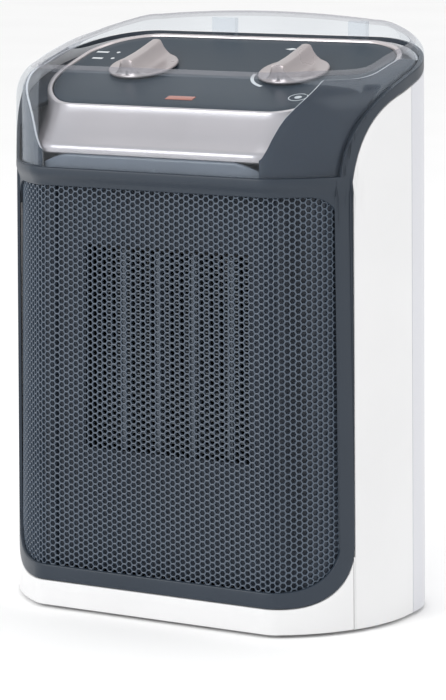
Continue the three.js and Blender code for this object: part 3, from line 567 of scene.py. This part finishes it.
def rear_housing():
    """The rear shell, with its louvres, screw wells and the seat of the cord gland."""
    build = Build()
    rows = with_depths([SEAM + SEAM_HALF, SEAM + 0.4], SEAM + SEAM_HALF, 200)
    rows = rows + mirrored(rows)
    wall(build, rows, lambda d: BASE, lambda d: band_low(d) - GAP, SHELL_WALL, 0.45, True, 24)
    # The rear shell, its screw wells and its louvre blades take the darker white: painted shade on the
    # rear.
    shell = make("white_rear_shell", build.points, build.faces, SHADED_WHITE,
                 stands_for=["rear_housing"])
    low, high = node_box("fan_shroud")
    middle = (low.z + high.z) / 2
    louvres = [(side * LOUVRE_X, middle + (row - (LOUVRE_ROWS - 1) / 2) * LOUVRE_PITCH)
               for row in range(LOUVRE_ROWS) for side in (-1, 1)]
    holes = Build()
    for x, z in louvres:
        plug(holes, rounded_slot(LOUVRE_HALF, 2.4), x, z, BACK - 8, BACK + 4)
    for x, z in screw_spots():
        plug(holes, circle(WELL_RADIUS, 32), x, z, BACK - 9, BACK + 4)
    low, high = node_box("cord_gland")
    seat = circle((high.x - low.x) / 2 + GAP, 32)
    plug(holes, seat, (low.x + high.x) / 2, (low.z + high.z) / 2, BACK - 8, BACK + 4)
    cut(shell, make("cutter", holes.points, holes.faces, SHADED_WHITE))
    wells = Build()
    screw_back = node_box("case_screw_1")[1].y
    for x, z in screw_spots():
        rings = [[(px, y, pz) for px, pz in circle(WELL_RADIUS, 24, x, z)]
                 for y in (BACK - 1.2, BACK - 1.8, screw_back - 3)]
        wells.grid(rings, close_columns=True)
    make("screw_wells", wells.points, wells.faces, SHADED_WHITE)
    blades = Build()
    for x, z in louvres:
        section = [(BACK - 2.6, z - 1.0), (BACK - 9.5, z + 4.2),
                   (BACK - 10.3, z + 3.4), (BACK - 3.0, z - 2.2)]
        blades.bar(section, x - BLADE_HALF, x + BLADE_HALF)
    make("louvre_blades", blades.points, blades.faces, SHADED_WHITE)


def frame_piece():
    """Bezel, collar and the dark band under the hoop, as one wall with a rounded window edge."""
    build = Build()
    depths = [1, 2.5, 5, 8, 12, 15, 17, 18.5, 19.6, 20.4, 20.8, 21.0]
    inner = with_depths(depths, 0, WINDOW_DEPTH)
    across = mirrored(inner) + inner
    wall(build, across, bezel_low, window_low, FRAME_WALL, 0.7, False, 3)
    wall(build, across, window_high, lambda d: COLLAR, FRAME_WALL, 0.7, False, 8)
    side = with_depths([21, 21.4, 22, 22.6, 23, 23.5, 24.5, 25.5, 26.4, 27.0], WINDOW_DEPTH, BEZEL_DEPTH)
    for rows in (side, mirrored(side)):
        wall(build, rows, bezel_low, band_high, FRAME_WALL, 0.5, False, 40)
    back = with_depths([27.0, 27.3, 27.8, 28.5, 30, 32, 35, 38, 42, 46, 50, 56, 62], BEZEL_DEPTH, 200)
    wall(build, back + mirrored(back), band_low, band_high, BAND_WALL, 0.6, False, 6)
    return make("slate_frame_piece", build.points, build.faces, SLATE,
                stands_for=["front_frame"])


# ---- Grille ----------------------------------------------------------------------------------------
HEX_PITCH = 2.86
HEX_SIDE = HEX_PITCH / math.sqrt(3)
HEX_COLUMNS = 44  # each side of the middle one
HOLE_SIDE = 1.33
HOLE_CHAMFER = 0.12
HOLE_DEPTH = 1.3
GRILLE_INSET = 1.55
OPEN_HALF = 42.0  # the opening over the element: half its width, and its heights
OPEN_LOW = 72.0
OPEN_HIGH = 163.0
RECESS = 11.0  # how much deeper the backing lies in front than at the sides
RECESS_EDGE = 80.0  # along the front from the middle, where it starts to go deeper
RECESS_SLOPE = 34.0
BACKING_WALL = 0.5


def arc_table():
    """Distance along the half outline, from the middle of the front, against the outline row."""
    made = [(0.0, HALF[0])]
    for a, b in zip(HALF, HALF[1:]):
        made.append((made[-1][0] + math.hypot(b[0] - a[0], b[1] - a[1]), b))
    return made


ARC = arc_table()


def row_at(u):
    """The outline row at a distance along the front from the middle, left negative."""
    for (start, a), (end, b) in zip(ARC, ARC[1:]):
        if abs(u) <= end:
            t = (abs(u) - start) / (end - start)
            x, y, nx, ny = (p + (q - p) * t for p, q in zip(a, b))
            return (x, y, nx, ny) if u >= 0 else (-x, y, -nx, ny)
    return ARC[-1][1]


def grille():
    """Every hexagon of the honeycomb, as a wall with a depth, over dark backing or open."""
    build = Build()
    corners = [(math.cos(math.pi / 3 * k), math.sin(math.pi / 3 * k)) for k in range(6)]
    shared = {}

    def point(u, z, inset):
        """The number of a point, which cells that meet there share."""
        key = (round(u, 3), round(z, 3), inset)
        if key not in shared:
            shared[key] = len(build.points)
            build.points.append(skin(row_at(u), inset, z, 0.0))
        return shared[key]

    for column in range(-HEX_COLUMNS, HEX_COLUMNS + 1):
        u = column * 1.5 * HEX_SIDE
        depth = row_at(u)[1] - FRONT
        if depth > WINDOW_DEPTH + 3.2:
            continue
        low, high = window_low(depth, 3.2), window_high(depth, 1.6)
        for step in range(-2, 64):
            z = WINDOW_LOW + (step + 0.5 * (column % 2)) * HEX_PITCH
            if not low <= z <= high:
                continue
            rim, hole, deep = ([point(u + side * c, z + side * s, GRILLE_INSET + inset) for c, s in corners]
                               for side, inset in ((HEX_SIDE, 0.0), (HOLE_SIDE, HOLE_CHAMFER),
                                                   (HOLE_SIDE, HOLE_DEPTH)))
            for k in range(6):
                n = (k + 1) % 6
                build.faces.append((rim[k], rim[n], hole[n], hole[k]))
                build.faces.append((hole[k], hole[n], deep[n], deep[k]))
    return make("honeycomb_grille", build.points, build.faces, LATTICE,
                stands_for=["front_grille"], smooth=20)


def grille_backing():
    """The dark skin behind the blind cells, set deeper in front, with the opening over the element."""
    build = Build()
    margin = 2.2

    def strip(us, low, high):
        rows = []
        for u in us:
            row = row_at(u)
            depth = row[1] - FRONT
            near = GRILLE_INSET + 1.35 + RECESS * smooth_step((RECESS_EDGE - abs(u)) / RECESS_SLOPE)
            far = near + BACKING_WALL
            bottom = max(low, window_low(depth, margin))
            top = min(high, window_high(depth, margin))
            rows.append([skin(row, inset, z, 0.0)
                         for inset, z in ((near, bottom), (near, top), (far, top), (far, bottom))])
        build.grid(rows, close_columns=True)
        build.cap(rows[0])
        build.cap(rows[-1], flip=True)

    edge = max(u for u, row in ARC if row[1] - FRONT < WINDOW_DEPTH + 3.6)
    side = [OPEN_HALF + (edge - OPEN_HALF) * i / 40 for i in range(41)]
    strip(side, 0, 300)
    strip([-u for u in side][::-1], 0, 300)
    strip([-OPEN_HALF, OPEN_HALF], 0, OPEN_LOW)
    strip([-OPEN_HALF, OPEN_HALF], OPEN_HIGH, 300)
    return make("grille_backing", build.points, build.faces, BLIND)


FIN_PITCH = 2.9
FIN_HALF = 0.3


def fins():
    """Thin level fins between the ceramic bars."""
    build = Build()
    names = [name for name in frame["nodes"] if name.startswith("fin_pack")]
    for name in names:
        low, high = node_box(name)
        count = int((high.z - low.z) / FIN_PITCH)
        for i in range(count + 1):
            z = low.z + FIN_HALF + (high.z - low.z - 2 * FIN_HALF) * i / count
            under, over = z - FIN_HALF, z + FIN_HALF
            build.bar([(low.y, under), (high.y, under), (high.y, over), (low.y, over)], low.x, high.x)
    return make("element_fins", build.points, build.faces, FIN, stands_for=names)


# ---- Top --------------------------------------------------------------------------------------------
COVER_WALL = 2.4
LUGS = ((-21, 6.0), (47, 4.5))  # middle across, and half width
LUG_LOW = 250.5
LUG_HIGH = 258.5
LINING_GAP = 0.35
LINING_WALL = 0.9
ROLL_RISE = 16.0  # how far down the hoop's roll reaches from its rim, at most


def rim_height(row, depth):
    """The rim's height: by depth along the sides, and bowed along the flat back."""
    flat = HALF_WIDTH - REAR
    bow = BACK_CROWN * (1 - min(abs(row[0]) / flat, 1.0) ** 2) if row[1] > 0 else 0.0
    return eased(RIM, depth) + bow


def roll_rise(rim, depth):
    """The height that the roll takes up below a rim."""
    return min(ROLL_RISE, rim - band_high(depth) - GAP - 1.2)


def hoop_section(row, depth):
    """The hoop's wall there, as (inset, z) points: outside up, over the rim, inside down."""
    rim = rim_height(row, depth)
    roll = eased(ROLL, depth)
    low = band_high(depth) + GAP
    rise = roll_rise(rim, depth)
    quarter = [math.pi / 2 * i / 10 for i in range(11)]
    outside = [(roll * (1 - math.cos(a)), rim - rise * (1 - math.sin(a))) for a in quarter]
    straight = [(0.0, low + (rim - rise - low) * i / 4) for i in range(4)]
    inner_roll, inner_rise = roll - COVER_WALL, rise - COVER_WALL
    inside = [(roll - inner_roll * math.cos(a), rim - rise + inner_rise * math.sin(a))
              for a in reversed(quarter)]
    lower = [(COVER_WALL, low + (rim - rise - low) * i / 4) for i in range(4)][::-1]
    return straight + outside + inside + lower


def clear_hoop():
    """The transparent hoop, with two moulded lugs inside its back."""
    build = Build()
    rows = with_depths([22.5, 23.2, 24, 25, 27, 30, 34, 40, 45, 50, 57, 67], 0, 200)
    rows = rows + mirrored(rows)
    columns = [[skin(row, inset, z) for inset, z in hoop_section(row, depth_above_collar(row))]
               for row in rows]
    build.grid(columns, close_rows=True, close_columns=True)
    for x, half in LUGS:
        loops = []
        for y, shrink in ((BACK - 2.2, 0.0), (BACK - 5.0, 0.0), (BACK - 5.5, 0.25), (BACK - 5.6, 0.6)):
            low, high = LUG_LOW + shrink, LUG_HIGH - shrink
            loops.append([(x + side * (half - shrink), y, z)
                          for side, z in ((-1, low), (1, low), (1, high), (-1, high))])
        build.grid(loops, close_columns=True)
        build.cap(loops[0], flip=True)
        build.cap(loops[-1])
    hoop = make("clear_hoop_wall", build.points, build.faces, CLEAR,
                stands_for=["clear_cover"])
    hoop.data.materials.append(RIM_PAINTED_HIGHLIGHT)
    count = len(columns[0])
    for index, polygon in enumerate(hoop.data.polygons):
        if index < len(rows) * count and 11 <= index % count <= 14:  # the faces over the rim, given the greyer, less clear finish: a painted highlight band along the rolled rim
            polygon.material_index = 1
    return hoop


# The height of the lining's edge, by depth.
LINING_TOP = [(0, 205.5), (0.5, 208.5), (2, 214.0), (4.7, 221.5), (8.5, 227.5), (12.5, 232), (16, 235.3),
              (20, 238.2), (26, 239.6), (45, 240.2), (57, 242.6), (70, 244.6), (84, 243.6), (94, 245.6),
              (108, 249.8)]


def lining():
    """The wall just inside the hoop, dark outside and pale inside, that follows the hoop's roll.

    Its edge flares upwards beside the metallic face.
    """
    build = Build()
    rows = with_depths([0.2, 0.5, 1, 1.5, 21, 23, 25, 28, 32, 38, 45, 52, 57, 60, 70], 0, 200)
    rows = [row for row in rows if row[0] > FLAT_X - 1.5 or row[1] > 0]
    loop = rows + mirrored(rows)
    outside, inside = [], []
    steps = 18
    for row in loop:
        depth = row[1] - FRONT
        reach = depth_above_collar(row)
        rim, roll = rim_height(row, reach), eased(ROLL, reach)
        rise = roll_rise(rim, reach)
        centre = rim - rise
        wide, tall = roll - COVER_WALL - LINING_GAP, rise - COVER_WALL - LINING_GAP
        low = max(COLLAR - 3, band_high(depth) - 5)
        high = min(eased(LINING_TOP, depth), centre + 0.92 * tall)
        for line, extra in ((outside, 0.0), (inside, LINING_WALL)):
            column = []
            for i in range(steps + 1):
                z = low + (high - low) * i / steps
                lean = wide * (1 - math.sqrt(1 - min(max((z - centre) / tall, 0.0), 0.95)**2))
                column.append(skin(row, COVER_WALL + LINING_GAP + lean + extra, z))
            line.append(column)
    build.grid(outside)
    count = len(build.faces)
    build.grid(inside, flip=True)
    build.grid([[column[-1] for column in outside], [column[-1] for column in inside]], flip=True)
    wall_piece = make("lining_wall", build.points, build.faces, GLOSS_SLATE)
    wall_piece.data.materials.append(PALE)
    for index, polygon in enumerate(wall_piece.data.polygons):
        if index >= count:
            polygon.material_index = 1
    return wall_piece


def plan_ring(inset, front, rear, rear_radius):
    """A closed plan loop at an inset, with its own front line, back line and rear corners."""
    flat = FRONT + inset
    sweep = SWEEP - inset
    corner = max(CORNER - inset, SOFT_CORNER)
    across = math.sqrt((sweep - corner)**2 - (SIDE_Y - flat - corner)**2)
    turn = math.atan2(across, SIDE_Y - flat - corner)
    points = [((SIDE_X + across) * i / 24, flat) for i in range(24)]
    for i in range(16):
        a = turn * i / 16 - math.pi / 2
        points.append((SIDE_X + across + corner * math.cos(a), flat + corner + corner * math.sin(a)))
    for i in range(41):
        a = turn - math.pi / 2 + (math.pi / 2 - turn) * i / 40
        points.append((SIDE_X + sweep * math.cos(a), SIDE_Y + sweep * math.sin(a)))
    stretch = (SIDE_Y - front) / (SIDE_Y - flat)
    points = [(x, SIDE_Y + (y - SIDE_Y) * stretch) for x, y in points]
    for i in range(1, 25):
        a = math.pi / 2 * i / 24
        points.append((HALF_WIDTH - inset - rear_radius + rear_radius * math.cos(a),
                       rear - rear_radius + rear_radius * math.sin(a)))
    left = [(-x, y) for x, y in points if x > 1e-6][::-1]
    return points + left


def drafted(point, z):
    """A plan point at a height, drawn in as the casing is."""
    return (point[0] * (1 - DRAFT * (z - BASE)), point[1], z)


def deck():
    """The dark floor between the lining and the metallic surround."""
    build = Build()
    rear = BACK - 5.5
    outer = plan_ring(4.3, LIP + 5.0, rear, 38)
    inner = plan_ring(FASCIA_INSET + 1.0, FRONT + FASCIA_INSET + 1, rear - 3, 30)
    rows = []
    for ring in (outer, inner):
        rows.append([drafted(p, panel_z(p[1], -2.8)) for p in ring])
    order = [k for k, p in enumerate(outer) if p[1] > FRONT + 14]  # nothing in front of the panel
    rows = [[row[k] for k in order] for row in rows]
    build.grid(rows)
    build.grid([[(x, y, z - 1.6) for x, y, z in row] for row in rows], flip=True)
    return make("dark_deck", build.points, build.faces, SLATE, stands_for=["top_deck"])


SILL_HALF = 62
SILL_LEVEL = 40  # how far from the middle the ledge stays level


def sill():
    """The pale ledge inside the hoop's front wall, with a rounded front edge."""
    build = Build()
    section = [(2.9, COLLAR - 1.5), (2.9, SILL + 1.2), (3.0, SILL + 1.9), (3.4, SILL + 2.4),
               (4.0, SILL + 2.6), (4.6, SILL + 2.4), (5.0, SILL + 1.6), (5.4, SILL - 0.4), (24, SILL - 0.6)]
    columns = []
    for i in range(81):
        x = SILL_HALF * (i / 40 - 1)
        drop = smooth_step((abs(x) - SILL_LEVEL) / (SILL_HALF - SILL_LEVEL))
        shift = 4.0 * drop * drop
        columns.append([(x, LIP + reach + shift, z - drop * 0.96 * max(0.0, z - COLLAR))
                        for reach, z in section])
    build.grid(columns, flip=True)
    return make("sill_ledge", build.points, build.faces, LEDGE, smooth=50)


# The metallic face's section in front, as (depth, height).
FASCIA_STEPS = [(1.0, SILL + 2.0), (-0.6, SILL + 2.8), (-1.0, SILL + 3.8), (-1.0, SILL + 5.0),
                (-0.5, SILL + 6.2), (0.6, SILL + 7.2), (2.4, SILL + 8.6), (5.0, SILL + 11.4),
                (8.2, SILL + 15), (11.0, SILL + 18.6), (12.3, SILL + 20.8), (FASCIA_INSET, SILL + 22.4)]


FASCIA_BACK = 3.4
FASCIA_REAR = 29
PANEL_REAR = 27


def fascia():
    """The metallic front face with its bright lower lip, rising into the panel's thin surround."""
    build = Build()
    rear = BACK - FASCIA_BACK
    rows = []
    for front, z in FASCIA_STEPS:
        ring = plan_ring(FASCIA_INSET, FRONT + front, rear, FASCIA_REAR)
        lift = [smooth_step((p[1] - FRONT - 22) / 16) for p in ring]
        heights = [z + (max(z, panel_z(p[1], -3.0)) - z) * up for p, up in zip(ring, lift)]
        rows.append([drafted(p, min(h, panel_z(p[1], -0.2))) for p, h in zip(ring, heights)])
    for offset, inset in ((-0.2, 0.0), (0.25, 0.15), (0.4, 0.5), (0.4, 1.6), (0.2, 2.1), (-0.6, 2.3)):
        grown = FASCIA_INSET + inset
        ring = plan_ring(grown, FRONT + grown, rear - inset, FASCIA_REAR - inset)
        rows.append([drafted(p, panel_z(p[1], offset)) for p in ring])
    build.grid(rows, close_columns=True, flip=True)
    return make("metallic_fascia", build.points, build.faces, TAUPE,
                stands_for=["control_fascia"])


def control_panel():
    """The glossy inclined panel, slightly dished at its edge."""
    build = Build()
    rear = BACK - FASCIA_BACK - 2.6
    rows = []
    for inset, offset in ((0.0, -2.4), (0.0, -0.5), (0.25, -0.15), (0.7, 0.0), (6, 0.0), (14, 0.0),
                          (24, 0.0)):
        grown = PANEL_INSET + inset
        ring = plan_ring(grown, FRONT + grown, rear - inset, max(PANEL_REAR - inset, 6))
        rows.append([drafted(p, panel_z(p[1], offset)) for p in ring])
    build.grid(rows, close_columns=True, flip=True)
    build.cap(rows[-1])
    return make("gloss_panel", build.points, build.faces, PANEL,
                stands_for=["control_panel"])


# ---- Controls -----------------------------------------------------------------------------------------
TILT = math.atan(PANEL_SLOPE)
KNOB_LINE = 60.0  # depth of the knobs' axes at the panel
KNOB_RADIUS = 15.8
KNOB_ROUND = 0.6
KNOB_RINGS = 56
KNOB_AROUND = 168
KNOB_EDGE = [(KNOB_RADIUS - KNOB_ROUND, 0.6), (KNOB_RADIUS - 0.1, 0.9), (KNOB_RADIUS, 1.3),
             (KNOB_RADIUS - 0.15, 1.8), (KNOB_RADIUS - KNOB_ROUND, 2.15)]
GRIP_HALF = 2.45
GRIP_RISE = 6.6
GRIP_FLARE = 1.8  # how far out the grip's foot spreads
PRINT_HEIGHT = 0.12
PRINT_DEPTH = -0.05


def on_panel(x, y, height):
    """A point that stands on the panel: across, along the slope from the knob line, and above it."""
    z = panel_z(FRONT + KNOB_LINE)
    return (x, FRONT + KNOB_LINE + y * math.cos(TILT) - height * math.sin(TILT),
            z + y * math.sin(TILT) + height * math.cos(TILT))


def knob(name, centre_x, body, node):
    """A dished flange whose top flares up into a straight grip bar."""
    build = Build()
    rows = [[on_panel(centre_x + x, y, height) for x, y in circle(radius, KNOB_AROUND)]
            for radius, height in KNOB_EDGE]
    for i in range(1, KNOB_RINGS + 1):
        radius = (KNOB_RADIUS - KNOB_ROUND) * (1 - i / KNOB_RINGS)
        row = []
        for x, y in circle(radius, KNOB_AROUND):
            half = GRIP_HALF - 0.35 * (y / KNOB_RADIUS)
            away = max(0.0, abs(x) - half)
            flare = GRIP_RISE * math.exp(-(away / GRIP_FLARE) ** 1.15)
            reach = smooth_step((KNOB_RADIUS - 0.8 - abs(y)) / 0.9)
            crown = 0.35 * (1 - min(abs(x) / half, 1.0) ** 2)
            dish = 2.1 - 0.5 * smooth_step(1 - radius / KNOB_RADIUS)
            row.append(on_panel(centre_x + x, y, dish + (flare + crown) * reach))
        rows.append(row)
    build.grid(rows, close_columns=True)
    build.cap(rows[0], flip=True)
    return make(name, build.points, build.faces, KNOB, body=body, stands_for=[node],
                smooth=50)


def flat_print(name, outline, material):
    """A thin printed mark on the panel, from (x, y) points round its edge."""
    build = Build()
    low, high = ([on_panel(x, y, height) for x, y in outline] for height in (PRINT_DEPTH, PRINT_HEIGHT))
    build.grid([low, high], close_columns=True)
    build.cap(high)
    return make(name, build.points, build.faces, material)


def arc(x, y, radius, start, end, count=40):
    return [(x + radius * math.cos(start + (end - start) * i / count),
             y + radius * math.sin(start + (end - start) * i / count)) for i in range(count + 1)]


def slope_y(depth):
    """Distance along the panel's slope from the knob line, for a depth behind the front."""
    return (depth - KNOB_LINE) / math.cos(TILT)


def band_print(name, x, y, radius, width, start, end, material):
    """A thin printed arc on the panel, between two angles in degrees."""
    build = Build()
    outside, inside = (arc(x, y, r, math.radians(start), math.radians(end))
                       for r in (radius, radius - width))
    build.grid([[on_panel(*spot, height) for spot in line]
                for line, height in ((outside, PRINT_DEPTH), (outside, PRINT_HEIGHT),
                                     (inside, PRINT_HEIGHT), (inside, PRINT_DEPTH))])
    return make(name, build.points, build.faces, material)


def prints():
    """Plain marks on the panel: two strokes with dots, a dot, a lozenge, an arc and a ringed dot."""
    for name, x, depth, half in (("mark_level_1", -70.6, 78.4, 3.1), ("mark_level_2", -68.7, 70.5, 2.7)):
        y = slope_y(depth)
        low, high = y - 0.8, y + 0.8
        flat_print(name, [(x - half, low), (x + half, low), (x + half, high), (x - half, high)], PRINT)
    for name, x, depth in (("mark_tick_1", -62.4, 78.6), ("mark_tick_2", -61.0, 71.0)):
        flat_print(name, circle(0.9, 40, x, slope_y(depth)), PRINT)
    flat_print("mark_dot", circle(0.8, 40, -51.6, slope_y(86.8)), TEAL)
    y = slope_y(90)
    flat_print("mark_lozenge", [(18, y - 0.2), (20.9, y - 1.2), (23.8, y + 0.2), (20.9, y + 1.4)], PRINT)
    low, high = node_box("thermostat_knob")
    band_print("mark_sweep", (low.x + high.x) / 2, 0.0, 19.3, 1.5, 186, 246, PRINT)
    y = slope_y(33)
    band_print("mark_round_1", 54, y, 4.4, 0.45, 60, 410, PRINT)
    flat_print("mark_round_2", circle(1.6, 40, 54, y), PRINT)


LAMP_HALF_X = 6.7
LAMP_HALF_Y = 2.0


def lamp():
    """The lamp's window, a low block with a rounded top."""
    build = Build()
    low, high = node_box("pilot_lens")
    y = slope_y((low.y + high.y) / 2 - FRONT)
    rows = []
    for inset, height in ((0, -2.2), (0, 0.1), (0.2, 0.32), (0.6, 0.42), (1.4, 0.45)):
        half_x, half_y = LAMP_HALF_X - inset, LAMP_HALF_Y - inset
        rows.append([on_panel(side * half_x, y + end * half_y, height)
                     for side, end in ((-1, -1), (1, -1), (1, 1), (-1, 1))])
    build.grid(rows, close_columns=True)
    build.cap(rows[-1])
    return make("pilot_window", build.points, build.faces, LAMP, stands_for=["pilot_lens"])


# ---- The rest of the CAD nodes keep their shapes -------------------------------------------------------
def dress():
    """Gives every CAD node the finish of its material slot."""
    finishes = {
        "white_shell": WHITE, "slate_frame": SLATE, "slate_grille": LATTICE, "panel_gloss": PANEL,
        "clear_hoop": CLEAR, "taupe_metallic": TAUPE, "lamp_red": LAMP, "black_plastic": BLACK,
        "grey_ceramic": GREY, "fin_aluminium": FIN, "steel": STEEL, "copper_winding": COPPER,
        "rubber_foot": RUBBER,
    }
    slots = {part["node"]: part["material_slot"] for part in frame["record"]["subparts"]}
    for name, node in frame["nodes"].items():
        for slot in node.material_slots:
            slot.material = finishes[slots[name]]


# ---- Floor, light and camera ----------------------------------------------------------------------------
def studio_floor():
    """The pale floor."""
    material, nodes, links, shader = new_material("studio_floor")
    cloud = noise(nodes, links, nodes.new("ShaderNodeTexCoord"), 3, 2)
    tone = toned(nodes, links, cloud, (0.93, 0.93, 0.93), (0.95, 0.95, 0.95))
    links.new(tone, shader.inputs["Base Color"])
    shader.inputs["Roughness"].default_value = 0.9
    shader.inputs["Specular IOR Level"].default_value = 0.1
    reach = 30.0
    corners = [(-reach, -reach, 0), (reach, -reach, 0), (reach, reach, 0), (-reach, reach, 0)]
    mesh = bpy.data.meshes.new("studio_floor")
    mesh.from_pydata(corners, [], [(0, 1, 2, 3)])
    obj = bpy.data.objects.new("studio_floor", mesh)
    mesh.materials.append(material)
    bpy.context.scene.collection.objects.link(obj)


def area_light(name, location, target, size, power):
    """A square white light that faces a target."""
    data = bpy.data.lights.new(name, "AREA")
    data.size = size
    data.energy = power
    obj = bpy.data.objects.new(name, data)
    obj.location = location
    obj.rotation_euler = (Vector(target) - Vector(location)).to_track_quat("-Z", "Y").to_euler()
    bpy.context.scene.collection.objects.link(obj)


def lights():
    """An even white surround, a key from the left, and weaker lights from the right and above."""
    world = bpy.data.worlds.new("studio")
    bpy.context.scene.world = world
    world.use_nodes = True
    world.node_tree.nodes["Background"].inputs["Color"].default_value = (1, 1, 1, 1)
    world.node_tree.nodes["Background"].inputs["Strength"].default_value = 1.0
    area_light("key_left", (-0.7, -1.5, 0.9), (0, 0, 0.14), 0.9, 14)
    area_light("side_right", (1.6, 0.2, 0.6), (0.05, 0, 0.13), 0.8, 3)
    area_light("top_soft", (0, 0.3, 1.6), (0, 0, 0.2), 0.9, 3)


CAMERA_PLACE = (0.64286, -1.14783, 0.32683)  # metres
CAMERA_AZIMUTH = math.radians(28.99)
CAMERA_ELEVATION = math.radians(9.21)
CAMERA_LENS = 153.52


def camera():
    """A long lens from the right and a little above."""
    azimuth, elevation = CAMERA_AZIMUTH, CAMERA_ELEVATION
    back = Vector((math.sin(azimuth) * math.cos(elevation), -math.cos(azimuth) * math.cos(elevation),
                   math.sin(elevation)))
    data = bpy.data.cameras.new("camera")
    data.sensor_width = 36
    data.lens = CAMERA_LENS
    obj = bpy.data.objects.new("camera", data)
    obj.location = CAMERA_PLACE
    obj.rotation_mode = "QUATERNION"
    obj.rotation_quaternion = (-back).to_track_quat("-Z", "Y")
    data.clip_start = 0.05
    data.clip_end = 50
    bpy.context.scene.collection.objects.link(obj)
    bpy.context.scene.camera = obj


dress()
front_housing()
rear_housing()
frame_piece()
grille()
grille_backing()
fins()
clear_hoop()
lining()
deck()
sill()
fascia()
control_panel()
knob("selector_grip", -38.0, "selector", "selector_knob")
knob("thermostat_grip", 38.0, "thermostat", "thermostat_knob")
prints()
lamp()
studio_floor()
lights()
camera()
bpy.context.scene.view_settings.view_transform = "Standard"
